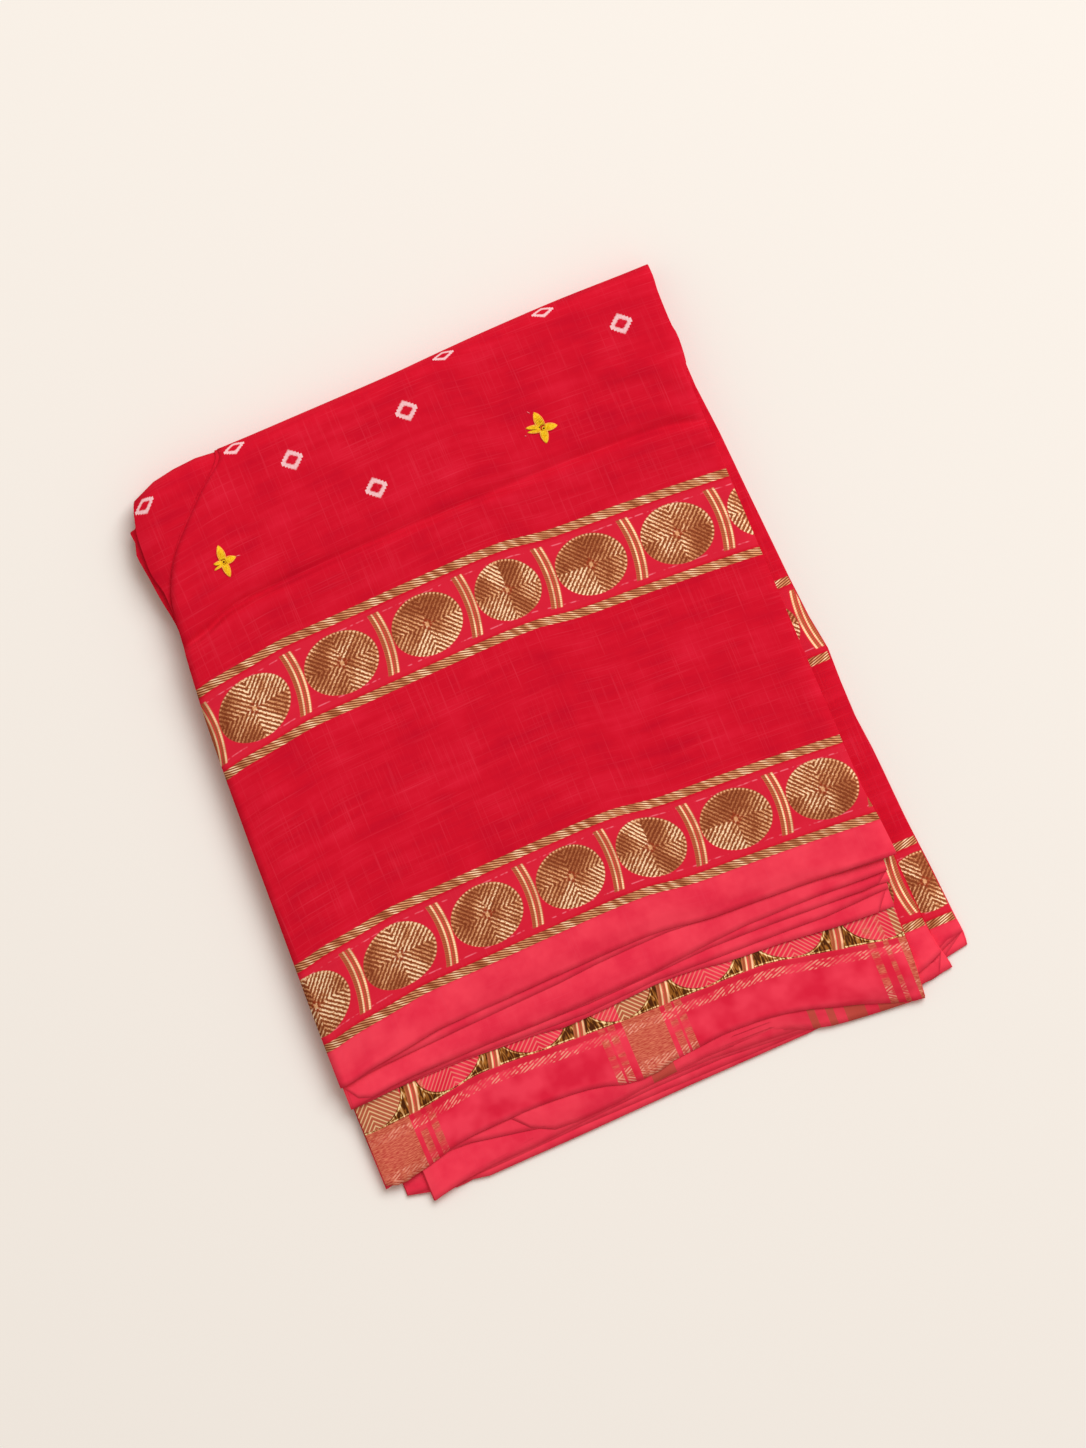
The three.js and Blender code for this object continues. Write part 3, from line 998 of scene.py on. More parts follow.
def slubs(tree, along, inward, lengthwise):
    """Faint thicker threads that run along the cloth or across it."""
    length, width = (SLUB_LENGTH, SLUB_WIDTH) if lengthwise else (SLUB_WIDTH, SLUB_LENGTH)
    place = add(tree, "CombineXYZ", along, inward, 0.0 if lengthwise else 40.0)
    return patches(tree, place, (1 / length, 1 / width, 1), 0.58, 0.82)


def cotton_ground(tree, along, inward):
    """The colour of the plain cloth, and where its thicker threads lie."""
    place = add(tree, "CombineXYZ", along, inward, 5.0)
    clouds = add(tree, "TexNoise", place, 0.045, 3.0, 0.55)
    crossing = add(tree, "VectorMath", place, (0.02, 0.16, 1), operation="MULTIPLY")
    bars = add(tree, "TexNoise", crossing, 1.0, 2.0, 0.5)
    red = add(tree, "ValToRGB", add(tree, "Mix", 0.45, clouds, bars), stops=GROUND_STOPS)
    pink = add(tree, "ValToRGB", clouds, stops=SELVEDGE_STOPS)
    at_selvedge = add(tree, "MapRange", inward, SELVEDGE_STRIP + 3, SELVEDGE_STRIP - 1, 0.0, 1.0)
    ground = add(tree, "Mix", at_selvedge, red, pink, data_type="RGBA")
    warp, weft = (slubs(tree, along, inward, lengthwise) for lengthwise in (True, False))
    threads = both(tree, add(tree, "MAXIMUM", warp, weft), SLUB_STRENGTH)
    return add(tree, "Mix", threads, ground, SLUB_PALE, data_type="RGBA"), threads


# %% [markdown]
# A dye mark is a small diamond of undyed cloth with a red middle. The dye creeps in between the
# bound threads, so its sides are stepped like the weave and speckled with pink.

# %% The dye marks
MARK_HALF_WIDTH, MARK_HALF_HEIGHT = 7.3, 6.5
MARK_STEP = 1.25
MARK_RING = 0.74  # the middle of the white line, as a share of the way from the centre
UNDYED, HALF_DYED = linear("#FBE3E4"), linear("#E9A9B2")


def dye_mark(tree):
    """Where the cloth is undyed, and the colour it has there."""
    metres = add(tree, "UVMap", uv_map="dye")
    places = add(tree, "VectorMath", metres, (1000, 1000, 0), operation="MULTIPLY")
    steps = (MARK_STEP, MARK_STEP, 1.0)
    stepped = add(tree, "VectorMath", places, steps, operation="SNAP")
    stepped = add(tree, "VectorMath", stepped, (MARK_STEP / 2, MARK_STEP / 2, 0), operation="ADD")
    blend = add(tree, "Mix", 0.7, places, stepped, data_type="VECTOR")
    scale = (1 / MARK_HALF_WIDTH, 1 / MARK_HALF_HEIGHT, 0)
    scaled = add(tree, "VectorMath", blend, scale, operation="MULTIPLY")
    sizes = add(tree, "VectorMath", scaled, operation="ABSOLUTE")
    reach = add(tree, "VectorMath", sizes, (1, 1, 0), operation="DOT_PRODUCT")
    undyed = stripe(tree, reach, 0.2, 0.035, middle=MARK_RING)
    speckled = patches(tree, places, 1.1, 0.44, 0.6, detail=0.0)
    middle_line = stripe(tree, reach, 0.03, 0.04, middle=MARK_RING)
    dyed = add(tree, "MULTIPLY_ADD", speckled, middle_line, 0.55)
    dyed = add(tree, "MINIMUM", dyed, 0.8)
    return undyed, add(tree, "Mix", dyed, UNDYED, HALF_DYED, data_type="RGBA")


# %% [markdown]
# Zari is a cotton or silk thread wound with a very thin gilded strip. It lies in floats over the
# ground, and each float is bright where it faces the light and copper brown where it turns away.
# One ramp from brown to cream paints this sheen and shade into the colour of all the zari, and each
# pattern only says how bright it is.

# %% The ropes of zari
# The ramp is the zari's gold, painted lighter as painted sheen and browner as painted shade.
ZARI_STOPS = [(0.0, linear("#5C2210")), (1.0, linear("#FFE2BC")), (0.28, linear("#8C4426")),
              (0.52, linear("#B16C44")), (0.78, linear("#E0A474"))]
BORDER_MIDDLES = (46.8, 206.0)
BORDER_HALF = 23.4
SECOND_BORDER_SHIFT = 20.0
ROPE_HALF = 2.3
ROPE_SLANT, ROPE_PITCH = 0.31, 1.3
# The bright and brown of a rope are painted sheen and painted shade.
ROPE_PATCH = 8.5  # how long a rope stays bright or brown


def border_places(tree, along, inward):
    """Places in the border: along it from one circle's middle, and up from its middle line."""
    second = add(tree, "GREATER_THAN", inward, sum(BORDER_MIDDLES) / 2)
    middle = add(tree, "MapRange", second, 0.0, 1.0, *BORDER_MIDDLES)
    up = add(tree, "SUBTRACT", inward, middle)
    return add(tree, "MULTIPLY_ADD", second, SECOND_BORDER_SHIFT, along), up


def zari_rope(tree, along, up):
    """The twisted rope on both sides of the border: where it is, and how bright its painted sheen is."""
    off = add(tree, "SUBTRACT", add(tree, "ABSOLUTE", up), BORDER_HALF)
    slanted = add(tree, "MULTIPLY_ADD", along, ROPE_SLANT, up)
    strand = stripe(tree, repeated(tree, slanted, ROPE_PITCH), 0.33, 0.14)
    turns = add(tree, "MULTIPLY_ADD", slanted, 1 / ROPE_PITCH, 0.5)
    stepped = add(tree, "MULTIPLY_ADD", add(tree, "FLOOR", turns), 1.3, along)
    place = add(tree, "CombineXYZ", stepped, off, 0.0)
    # The rope's bright and brown patches are painted sheen and painted shade along its twist.
    rope_sheen = patches(tree, place, (1 / ROPE_PATCH, 0.03, 1), 0.36, 0.62)
    lit = add(tree, "MULTIPLY_ADD", rope_sheen, 0.36, 0.36)
    value = add(tree, "MULTIPLY_ADD", strand, lit, 0.16)
    value = add(tree, "MULTIPLY_ADD", rope_sheen, 0.12, value)
    return stripe(tree, off, ROPE_HALF, 0.2), value


# %% [markdown]
# The circles are woven in four sectors of slanting lines, whose points meet along the two middle
# axes. Each half of a sector catches the light in its own way, so some look cream and others brown.

# %% The places and the light of the circles
CIRCLE_HALF_WIDTH, CIRCLE_HALF_HEIGHT = 20.1, 17.05


def circle_places(tree, along, up):
    """Named places round the middle of the nearest circle."""
    cell = repeated(tree, along, REPEAT)
    flat = add(tree, "CombineXYZ", cell, up, 0.0)
    scale = (1 / CIRCLE_HALF_WIDTH, 1 / CIRCLE_HALF_HEIGHT, 0)
    scaled = add(tree, "VectorMath", flat, scale, operation="MULTIPLY")
    reach = add(tree, "VectorMath", scaled, operation="LENGTH").outputs["Value"]
    aside, above = (add(tree, "ABSOLUTE", value) for value in (cell, up))
    return {
        "cell": cell,
        "flat": flat,
        "reach": reach,
        "inside": stripe(tree, reach, 1.0, 0.012),
        "aside": aside,
        "above": above,
        "slant": add(tree, "SUBTRACT", aside, above),
    }


def sector_sheen(tree, at, along, up, place):
    """How brightly each half sector of each circle shines."""
    right, upper, outer = (add(tree, "SIGN", value) for value in (at["cell"], up, at["slant"]))
    number = add(tree, "ROUND", add(tree, "DIVIDE", along, REPEAT))
    sector = add(tree, "MULTIPLY_ADD", outer, 3.0, right)
    sector = add(tree, "CombineXYZ", number, sector, upper)
    sector_light = add(tree, "TexWhiteNoise", sector, noise_dimensions="3D")
    stretched = add(tree, "VectorMath", place, (0.05, 0.035, 1), operation="MULTIPLY")
    sheen = add(tree, "TexNoise", stretched, 1.0, 1.0, 0.5)
    sheen = add(tree, "MULTIPLY_ADD", sector_light, 0.2, sheen)
    return add(tree, "MapRange", sheen, 0.47, 0.74, 0.0, 1.0)


# %% [markdown]
# The lines are one float wide with a darker gap. They waver, and break up where a float ends. A
# round eye with a thin brown-red ring sits in the middle, and small bright beads of zari step round
# the rim on the side that the light reaches.

# %% The circles
CHEVRON_PITCH = 2.95
EYE_HALF = 1.2
EYE_RING = 2.7
BEAD_PITCH = 2.25
BEAD_RIM = 0.97
MEAN_RADIUS = 18.6


def circle_beads(tree, at, up):
    """The beads round the rim, brighter at the right and above."""
    turn = add(tree, "ARCTAN2", up, at["cell"])
    arc = add(tree, "MULTIPLY", turn, MEAN_RADIUS)
    bead = stripe(tree, repeated(tree, arc, BEAD_PITCH), 0.6, 0.3)
    rim = stripe(tree, at["reach"], 0.03, 0.022, middle=BEAD_RIM)
    lit_side = add(tree, "MULTIPLY_ADD", at["cell"], 0.7, up)
    lit_side = add(tree, "MapRange", lit_side, -9.0, 3.0, 0.15, 0.9)
    return both(tree, both(tree, bead, rim), lit_side)


def zari_circle(tree, along, up):
    """A circle at each repeat: where it is, how bright, and where its brown-red lines lie."""
    at = circle_places(tree, along, up)
    place = add(tree, "CombineXYZ", along, up, 9.0)
    sheen = sector_sheen(tree, at, along, up, place)
    waver = add(tree, "TexNoise", place, 0.7, 1.0, 0.5)
    slant = add(tree, "MULTIPLY_ADD", waver, 1.7, at["slant"])
    grain = add(tree, "TexNoise", place, 1.5, 1.0, 0.6)
    broken = add(tree, "MapRange", grain, 0.35, 0.55, 0.55, 1.0)
    line = both(tree, stripe(tree, repeated(tree, slant, CHEVRON_PITCH), 0.68, 0.3), broken)
    lit = add(tree, "MULTIPLY_ADD", sheen, 0.58, 0.27)
    value = add(tree, "MULTIPLY_ADD", line, lit, 0.22)
    value = add(tree, "MULTIPLY_ADD", sheen, 0.1, value)
    value = add(tree, "ADD", value, add(tree, "MULTIPLY_ADD", grain, 0.36, -0.18))
    from_eye = add(tree, "VectorMath", at["flat"], operation="LENGTH").outputs["Value"]
    eye = stripe(tree, from_eye, EYE_HALF, 0.25)
    value = add(tree, "Mix", both(tree, eye, 0.8), value, 0.85)
    value = add(tree, "Mix", circle_beads(tree, at, up), value, 0.95)
    ring = stripe(tree, add(tree, "ADD", from_eye, waver), 0.5, 0.35, middle=EYE_RING)
    least = add(tree, "MINIMUM", at["aside"], at["above"])
    arms = both(tree, stripe(tree, least, 0.3, 0.25), stripe(tree, from_eye, 4.6, 1.2))
    arms = both(tree, arms, add(tree, "SUBTRACT", 1.0, eye))
    return at["inside"], value, both(tree, add(tree, "MAXIMUM", ring, arms), 0.75)


# %% [markdown]
# Between the circles stand pairs of thin zari lines, each with a brown line at its left, and a few
# orange threads between them. They bow a little to the right, because the weaver pulls the weft
# tighter at the ends. Pale pink dashes mark where the zari is cut behind the cloth.

# %% The bars and the panel
BAR_HALF_LENGTH = 17.6
BAR_REACH = 4.5
CLEAR = (0.9, 0.3, 0.15, 0.0)
THIN_ORANGE = linear("#E2583C", 0.6)
BAR_BROWN = linear("#AE5A38", 0.95)
BAR_CREAM = linear("#FBD6A8")
BAR_STOPS = [(0.1, CLEAR), (0.9, CLEAR), (0.13, BAR_BROWN), (0.33, BAR_BROWN), (0.36, BAR_CREAM),
             (0.44, BAR_CREAM), (0.47, THIN_ORANGE), (0.53, CLEAR), (0.55, BAR_BROWN),
             (0.66, BAR_BROWN), (0.69, THIN_ORANGE), (0.73, BAR_CREAM), (0.82, BAR_CREAM),
             (0.85, THIN_ORANGE)]
PANEL_HALF = 20.0
PANEL_RED, DASH_PINK = linear("#DC2A42"), linear("#F27A8C")
DASH_LINE = 16.6


def bowed(tree, along, up):
    """Millimetres to the right of the nearest bar's own bowed middle line."""
    from_bar = add(tree, "WRAP", along, REPEAT, 0.0)
    from_bar = add(tree, "SUBTRACT", from_bar, REPEAT / 2)
    lifted = add(tree, "SUBTRACT", up, 3.0)
    square = add(tree, "MULTIPLY", lifted, lifted)
    bow = add(tree, "MULTIPLY_ADD", square, 0.0075, -1.4)
    return add(tree, "ADD", from_bar, bow)


def zari_bars(tree, along, up):
    """The bars: their colour, and how much of the ground they cover."""
    place = add(tree, "MapRange", bowed(tree, along, up), -BAR_REACH, BAR_REACH, 0.0, 1.0)
    section = add(tree, "ValToRGB", place, stops=BAR_STOPS)
    shown = both(tree, section.outputs["Alpha"], stripe(tree, up, BAR_HALF_LENGTH, 0.3))
    dim = patches(tree, add(tree, "CombineXYZ", along, up, 2.0), 0.11, 0.4, 0.6, 0.45, 0.0)
    colour = add(tree, "Mix", dim, section.outputs["Color"], BAR_BROWN, data_type="RGBA")
    return shown, colour


def panel_dashes(tree, along, up):
    """Thin pale dashes above and below the circles, near the bars."""
    line = stripe(tree, add(tree, "ABSOLUTE", up), 0.28, 0.2, middle=DASH_LINE)
    spot = add(tree, "CombineXYZ", along, up, 21.0)
    return both(tree, line, patches(tree, spot, 0.28, 0.46, 0.6, 0.0, 0.8, roughness=0.6))


# %% [markdown]
# The end of the saree is crossed by gold bands. Its last fold shows them on both sides of the cloth,
# so one function says where bands lie, from pairs of edges measured across the packet.


# %% Bands across the cloth
def bands_across(tree, along, origin, edges):
    """White inside each pair of edges, given in millimetres from one place along the cloth."""
    first, last = -180.0, 180.0
    place = add(tree, "MapRange", along, origin + first, origin + last, 0.0, 1.0)
    stops = [(0.0, (0, 0, 0, 1)), (1.0, (0, 0, 0, 1))]
    for start, end in edges:
        stops.append(((start - first) / (last - first), (1, 1, 1, 1)))
        stops.append(((end - first) / (last - first), (0, 0, 0, 1)))
    bands = add(tree, "ValToRGB", place, stops=stops)
    bands.color_ramp.interpolation = "CONSTANT"
    return bands


# %% [markdown]
# The right side puts these together, one over the other, in the order in which the loom does: the
# ground, the panel of the border, the bars, the circles, the ropes. Cotton is matt. Zari is a little
# smoother and partly metal, and it lies proud of the cloth, which the bump gives it.

# %% Shaders for cloth
COTTON_ROUGHNESS, ZARI_ROUGHNESS = 0.9, 0.48
ZARI_METAL = 0.35
COTTON_GLOSS = 0.05
THREAD_HEIGHT = 0.00025


def cloth_material(name):
    """A new material with its tree and its shader, set as dry cotton."""
    material = bpy.data.materials.new(name)
    material.use_nodes = True
    shader = material.node_tree.nodes["Principled BSDF"]
    shader.inputs["Specular IOR Level"].default_value = COTTON_GLOSS
    shader.inputs["Roughness"].default_value = COTTON_ROUGHNESS
    return material, material.node_tree, shader


def finish_cloth(tree, shader, colour, height, zari=None):
    """Give a shader its colour and its relief, and its gloss where zari lies."""
    relief = add(tree, "Bump", 0.5, THREAD_HEIGHT, named={"Height": height})
    feeds = {"Base Color": colour, "Normal": relief}
    if zari is not None:
        feeds["Roughness"] = add(tree, "MapRange", zari, 0.0, 1.0, COTTON_ROUGHNESS, ZARI_ROUGHNESS)
        feeds["Metallic"] = add(tree, "MULTIPLY", zari, ZARI_METAL)
    for name, feed in feeds.items():
        feed_socket(tree, shader.inputs[name], feed)


def layered(tree, colour, *covers):
    """Lay colours over a ground, each through its mask."""
    for mask, cover in covers:
        colour = add(tree, "Mix", mask, colour, cover, data_type="RGBA")
    return colour


# %% The right side of the cloth
CIRCLE_RED = linear("#9A351C")
BAND_BROWN = linear("#A85A3C")
# The last fold runs to the left, so its bands are given mirrored.
LAST_FOLD_BANDS = [(-132, -118), (-110.5, -98.5), (-94, -89), (-84, -79), (0, 14)]


def border_right_side(tree, ground, along, inward):
    """The border over the ground on the right side: colour, zari and relief."""
    border_along, up = border_places(tree, along, inward)
    panel = both(tree, stripe(tree, up, PANEL_HALF, 0.8), 0.55)
    dashes = panel_dashes(tree, border_along, up)
    bars, bar_colour = zari_bars(tree, border_along, up)
    circle, circle_value, red_lines = zari_circle(tree, border_along, up)
    rope, rope_value = zari_rope(tree, border_along, up)
    circle_gold = add(tree, "ValToRGB", circle_value, stops=ZARI_STOPS)
    circle_colour = add(tree, "Mix", red_lines, circle_gold, CIRCLE_RED, data_type="RGBA")
    rope_gold = add(tree, "ValToRGB", rope_value, stops=ZARI_STOPS)
    colour = layered(tree, ground, (panel, PANEL_RED), (dashes, DASH_PINK), (bars, bar_colour),
                     (circle, circle_colour), (rope, rope_gold))
    zari = add(tree, "MAXIMUM", add(tree, "MAXIMUM", circle, rope), bars)
    thread = add(tree, "Mix", circle, rope_value, circle_value)
    return colour, zari, both(tree, zari, thread)


right_side, tree, shader = cloth_material("sungudi cotton, right side")
along, inward = weave_places(tree)
ground, threads = cotton_ground(tree, along, inward)
colour, zari, relief = border_right_side(tree, ground, along, inward)
last_fold = bands_across(tree, along, 23 * LAYER_LENGTH + 180, LAST_FOLD_BANDS)
colour = layered(tree, colour, (both(tree, last_fold, 0.6), BAND_BROWN), dye_mark(tree))
relief = add(tree, "MULTIPLY_ADD", threads, 0.5, relief)
finish_cloth(tree, shader, colour, relief, zari)
cloth.data.materials.append(right_side)
print("nodes of the right side:", len(tree.nodes))

# %% [markdown]
# On the wrong side the zari is carried loosely from figure to figure. The circles are only thin
# pinkish lines there. Round them and beside each bar the loose threads lie in gold bunches. Their
# bright tops are painted highlight, and the dark hollows between them are painted shade.

# %% The wrong side: circles and floats
WRONG_STOPS = [(0.35, linear("#DD2440")), (0.62, linear("#F03E56"))]
FLOAT_CREAM = linear("#FFE4AC")
# The float ramp runs from painted shade in the hollows, through the gold of the floats, to painted
# highlight.
FLOAT_STOPS = [(0.46, linear("#4C240C")), (0.84, FLOAT_CREAM), (0.64, linear("#AC6C2A"))]
FLOAT_BY_CIRCLE, FLOAT_BY_BAR = 1.045, 2.9

wrong_side, tree, shader = cloth_material("sungudi cotton, wrong side")
along, inward = weave_places(tree)
border_along, up = border_places(tree, along, inward)
at = circle_places(tree, border_along, up)
spot = add(tree, "CombineXYZ", along, inward, 3.0)
pink = add(tree, "ValToRGB", add(tree, "TexNoise", spot, 0.06, 2.0, 0.5), stops=WRONG_STOPS)
chevrons = stripe(tree, repeated(tree, at["slant"], CHEVRON_PITCH), 0.4, 0.3)
thin_lines = both(tree, both(tree, chevrons, at["inside"]), 0.7)

from_bar = add(tree, "ABSOLUTE", bowed(tree, border_along, up))
past_bar = add(tree, "MapRange", from_bar, 2.1, 2.5, 0.0, 1.0)
outside = add(tree, "SUBTRACT", 1.0, at["inside"])
in_panel = stripe(tree, up, BAR_HALF_LENGTH, 0.3)
floats = both(tree, both(tree, outside, in_panel), past_bar)
# Bright bunches round each circle, beside each bar and along the panel's edge: painted highlight, which
# also raises the bump.
by_circle = stripe(tree, at["reach"], 0.014, 0.02, middle=FLOAT_BY_CIRCLE)
by_bar = stripe(tree, from_bar, 0.3, 0.2, middle=FLOAT_BY_BAR)
by_edge = stripe(tree, at["above"], 0.25, 0.25, middle=BAR_HALF_LENGTH - 0.7)
bunches = add(tree, "MAXIMUM", add(tree, "MAXIMUM", by_circle, by_bar), by_edge)
strands = add(tree, "VectorMath", spot, (0.75, 0.16, 1), operation="MULTIPLY")
strands = add(tree, "TexNoise", strands, 1.0, 1.0, 0.5, named={"Distortion": 0.8})
bunches = add(tree, "MULTIPLY_ADD", bunches, 0.3, strands)
float_colour = add(tree, "ValToRGB", bunches, stops=FLOAT_STOPS)
bars, bar_colour = zari_bars(tree, border_along, up)
print("nodes of the wrong side so far:", len(tree.nodes))

# %% [markdown]
# The rope shows on the wrong side as bunches of short slanting dashes. This is also the end of the
# saree, where wide gold bands and narrow broken ones cross the cloth, and end in the same dashes.

# %% The wrong side: dashes and bands
DASH_PITCH, DASH_SLANT = 1.7, -0.5
BAND_EDGES = [(-174, -147.4), (-19.2, 4), (140.5, 144.5)]
COLUMN_EDGES = [(-144, -140), (-137.5, -133.5), (-33.3, -29.3), (-27, -23), (6, 10), (12.5, 16.5),
                (123, 127), (131, 135)]
END_START = 24 * LAYER_LENGTH + WEAVE_STARTS[24]

dash = add(tree, "MULTIPLY_ADD", along, DASH_SLANT, inward)
dash = stripe(tree, repeated(tree, dash, DASH_PITCH), 0.36, 0.22)
dash = both(tree, dash, patches(tree, spot, 0.42, 0.4, 0.5, 0.1, 0.9, detail=0.0))
dash = both(tree, dash, patches(tree, spot, 0.09, 0.4, 0.48, 0.3, 1.0))
bands = bands_across(tree, along, END_START, BAND_EDGES)
narrow_bands = bands_across(tree, along, END_START, COLUMN_EDGES)
in_rope = stripe(tree, at["above"], 2.5, 0.2, middle=BORDER_HALF)
at_end = both(tree, stripe(tree, inward, 4.2, 0.4), add(tree, "MAXIMUM", bands, narrow_bands))
dashed = both(tree, dash, add(tree, "MAXIMUM", in_rope, at_end))
broken = patches(tree, spot, (0.02, 0.24, 1), 0.42, 0.58, 0.12, 0.6, detail=0.0)
print("nodes of the wrong side so far:", len(tree.nodes))

# %% [markdown]
# All of it is then laid over the pink ground. Where a circle falls in a wide band, its brown disc
# and cream lines stand out against the band's own shine.

# %% The wrong side of the cloth
WRONG_STRIP = linear("#C91A33")
LINE_GOLD, DASH_GOLD = linear("#EE9884"), linear("#F3A58E")
BAND_GOLD, BAND_LIGHT = linear("#A84C34"), linear("#DE8E68")

fine = patches(tree, spot, (0.3, 2.2, 1), 0.38, 0.66, roughness=0.6)
band_colour = add(tree, "Mix", fine, BAND_GOLD, BAND_LIGHT, data_type="RGBA")
gold_circle = both(tree, at["inside"], bands)
line_colour = add(tree, "Mix", gold_circle, LINE_GOLD, FLOAT_CREAM, data_type="RGBA")
strip = stripe(tree, at["above"], 1.6, 0.5, middle=19.6)
colour = layered(
    tree,
    pink,
    (both(tree, strip, 0.6), WRONG_STRIP),
    (both(tree, bands, 0.72), band_colour),
    (both(tree, gold_circle, 0.7), BAND_BROWN),
    (both(tree, narrow_bands, broken), band_colour),
    (thin_lines, line_colour),
    (floats, float_colour),
    (bars, bar_colour),
    (dashed, DASH_GOLD),
)
zari = add(tree, "MAXIMUM", floats, bars)
finish_cloth(tree, shader, colour, both(tree, floats, bunches), zari)
cloth.data.materials.append(wrong_side)
print("nodes of the wrong side:", len(tree.nodes))

# %% [markdown]
# The layers inside the stack and the strips of the fan are the same cotton without the border. They
# get a plain finish, and it holds the dye mark of the corner that shows at the upper left.

# %% The plain cloth
plain_cloth, tree, shader = cloth_material("sungudi cotton, plain")
along, inward = weave_places(tree)
ground, threads = cotton_ground(tree, along, inward)
finish_cloth(tree, shader, layered(tree, ground, dye_mark(tree)), threads)
cloth.data.materials.append(plain_cloth)
print("nodes of the plain cloth:", len(tree.nodes))

# %% [markdown]
# Two small stars are sewn on by hand with yellow cotton thread. A star has its place on the cloth,
# and everything else in it is measured from its own centre: holes with their size, petals with a
# tip for each of their halves, and the loose ends of the thread.

# %% The measures of the stars
STARS = [
    {
        "place": (-123.2, 56.1),
        "holes": [(0.0, 0.0, 0.42)],
        "petals": [
            {"tips": [(0.5, 9.6), (0.5, 9.6)], "width": 2.15},
            {"tips": [(7.3, 0.5), (7.3, 0.0)], "width": 1.95},
            {"tips": [(0.3, -8.9), (0.0, -8.9)], "width": 1.95},
            {"tips": [(-5.6, 1.0), (-6.4, -2.3)], "width": 1.75},
        ],
        "loose": [[(7.0, 0.3), (8.6, 0.4), (10.0, 0.0)]],
    },
    {
        "place": (67.1, 55.0),
        "holes": [(0.5, -0.5, 0.42), (-1.5, 0.9, 0.4), (0.1, 3.7, 0.5)],
        "petals": [
            {"tips": [(-1.1, 9.7), (-1.1, 9.7)], "width": 2.5},
            {"tips": [(8.1, -1.6), (8.1, -1.8)], "width": 2.05},
            {"tips": [(-1.1, -8.6), (-1.1, -8.6)], "width": 2.15},
            {"tips": [(-8.6, 3.3), (-8.5, 0.8)], "width": 2.2},
        ],
        "loose": [
            [(-10.9, -0.4), (-10.4, -0.5), (-9.9, -0.7)],
            [(-4.6, 11.6), (-4.0, 10.8), (-3.4, 10.0)],
        ],
    },
]
print("petals of each star:", [len(star["petals"]) for star in STARS])

# %% [markdown]
# One thread is a tube of few faces, bent along its own line on top of the cloth. Circles turned to
# the line are bridged one after the other, and the thread thins at both of its ends.

# %% One thread on the cloth
THREAD_SIDES, THREAD_TIP = 6, 0.55


def cloth_top(across, down):
    """The place on top of the first layer."""
    middle, first = half_height(down), level(0, down)
    height = 2 * middle - first + (1 - first / middle) * shared_lift(across, down)
    height = (height + top_lift(across, down)) * settled(across) + CLOTH_THICKNESS / 2
    return Vector((across, -down, height)) + shift


def lay_thread(mesh, line, radius, finish):
    """A round thread along a line of places: a circle at each, bridged from one to the next."""
    ends = (0, len(line) - 1)
    verts, last_ring = [], []
    for i, place in enumerate(line):
        ahead = (line[min(i + 1, ends[1])] - line[max(i - 1, 0)]).normalized()
        side = ahead.cross(Vector((0, 0, 1))).normalized()
        turned = Matrix((-side.cross(ahead), side, ahead)).transposed().to_4x4()
        turned.translation = place * MM
        made = bmesh.ops.create_circle(mesh, cap_ends=i in ends, segments=THREAD_SIDES, matrix=turned,
                                       radius=radius * MM * (THREAD_TIP if i in ends else 1))
        ring = list({edge for vert in made["verts"] for edge in vert.link_edges})
        if last_ring:
            bmesh.ops.bridge_loops(mesh, edges=last_ring + ring)
        verts, last_ring = verts + made["verts"], ring
    for face in {face for vert in verts for face in vert.link_faces}:
        face.material_index = finish
        face.smooth = True


print("cloth below the first star, mm:", round(cloth_top(*STARS[0]["place"]).z, 1))

# %% [markdown]
# Each petal is a bundle of long stitches that swell in the middle and run together at the tip, and
# a round stitch holds the centre open round the needle's hole.

# %% The sewn stars
THREAD_RADIUS = 0.33
THREADS_PER_PETAL, PETAL_STEPS = 7, 8
RING_STEPS = 12
YELLOW, SHADED_ORANGE_EDGE, PINK_END, HOLE = range(4)


def petal_line(star, petal, offset):
    """The line of one stitch from the centre to the tip of a petal."""
    first, second = (Vector(tip) for tip in petal["tips"])
    middle = (first + second) / 2
    own = first if offset < 0.2 else second
    axis = (first + second).normalized()
    side = Vector((-axis.y, axis.x))
    line = []
    for step in range(PETAL_STEPS + 1):
        share = step / PETAL_STEPS
        swell = 1.15 * (0.7 + 0.75 * share) * (1 - share ** 1.8)
        spot = middle * (0.13 + 0.87 * share) + (own - middle) * share ** 3
        spot += side * offset * petal["width"] * swell
        rise = 0.15 + 0.6 * math.sin(math.pi * min(share + 0.12, 1)) ** 0.6 * (1 - 0.35 * offset ** 2)
        on_cloth = cloth_top(star["place"][0] + spot.x, star["place"][1] - spot.y)
        line.append(on_cloth + Vector((0, 0, rise)))
    return line


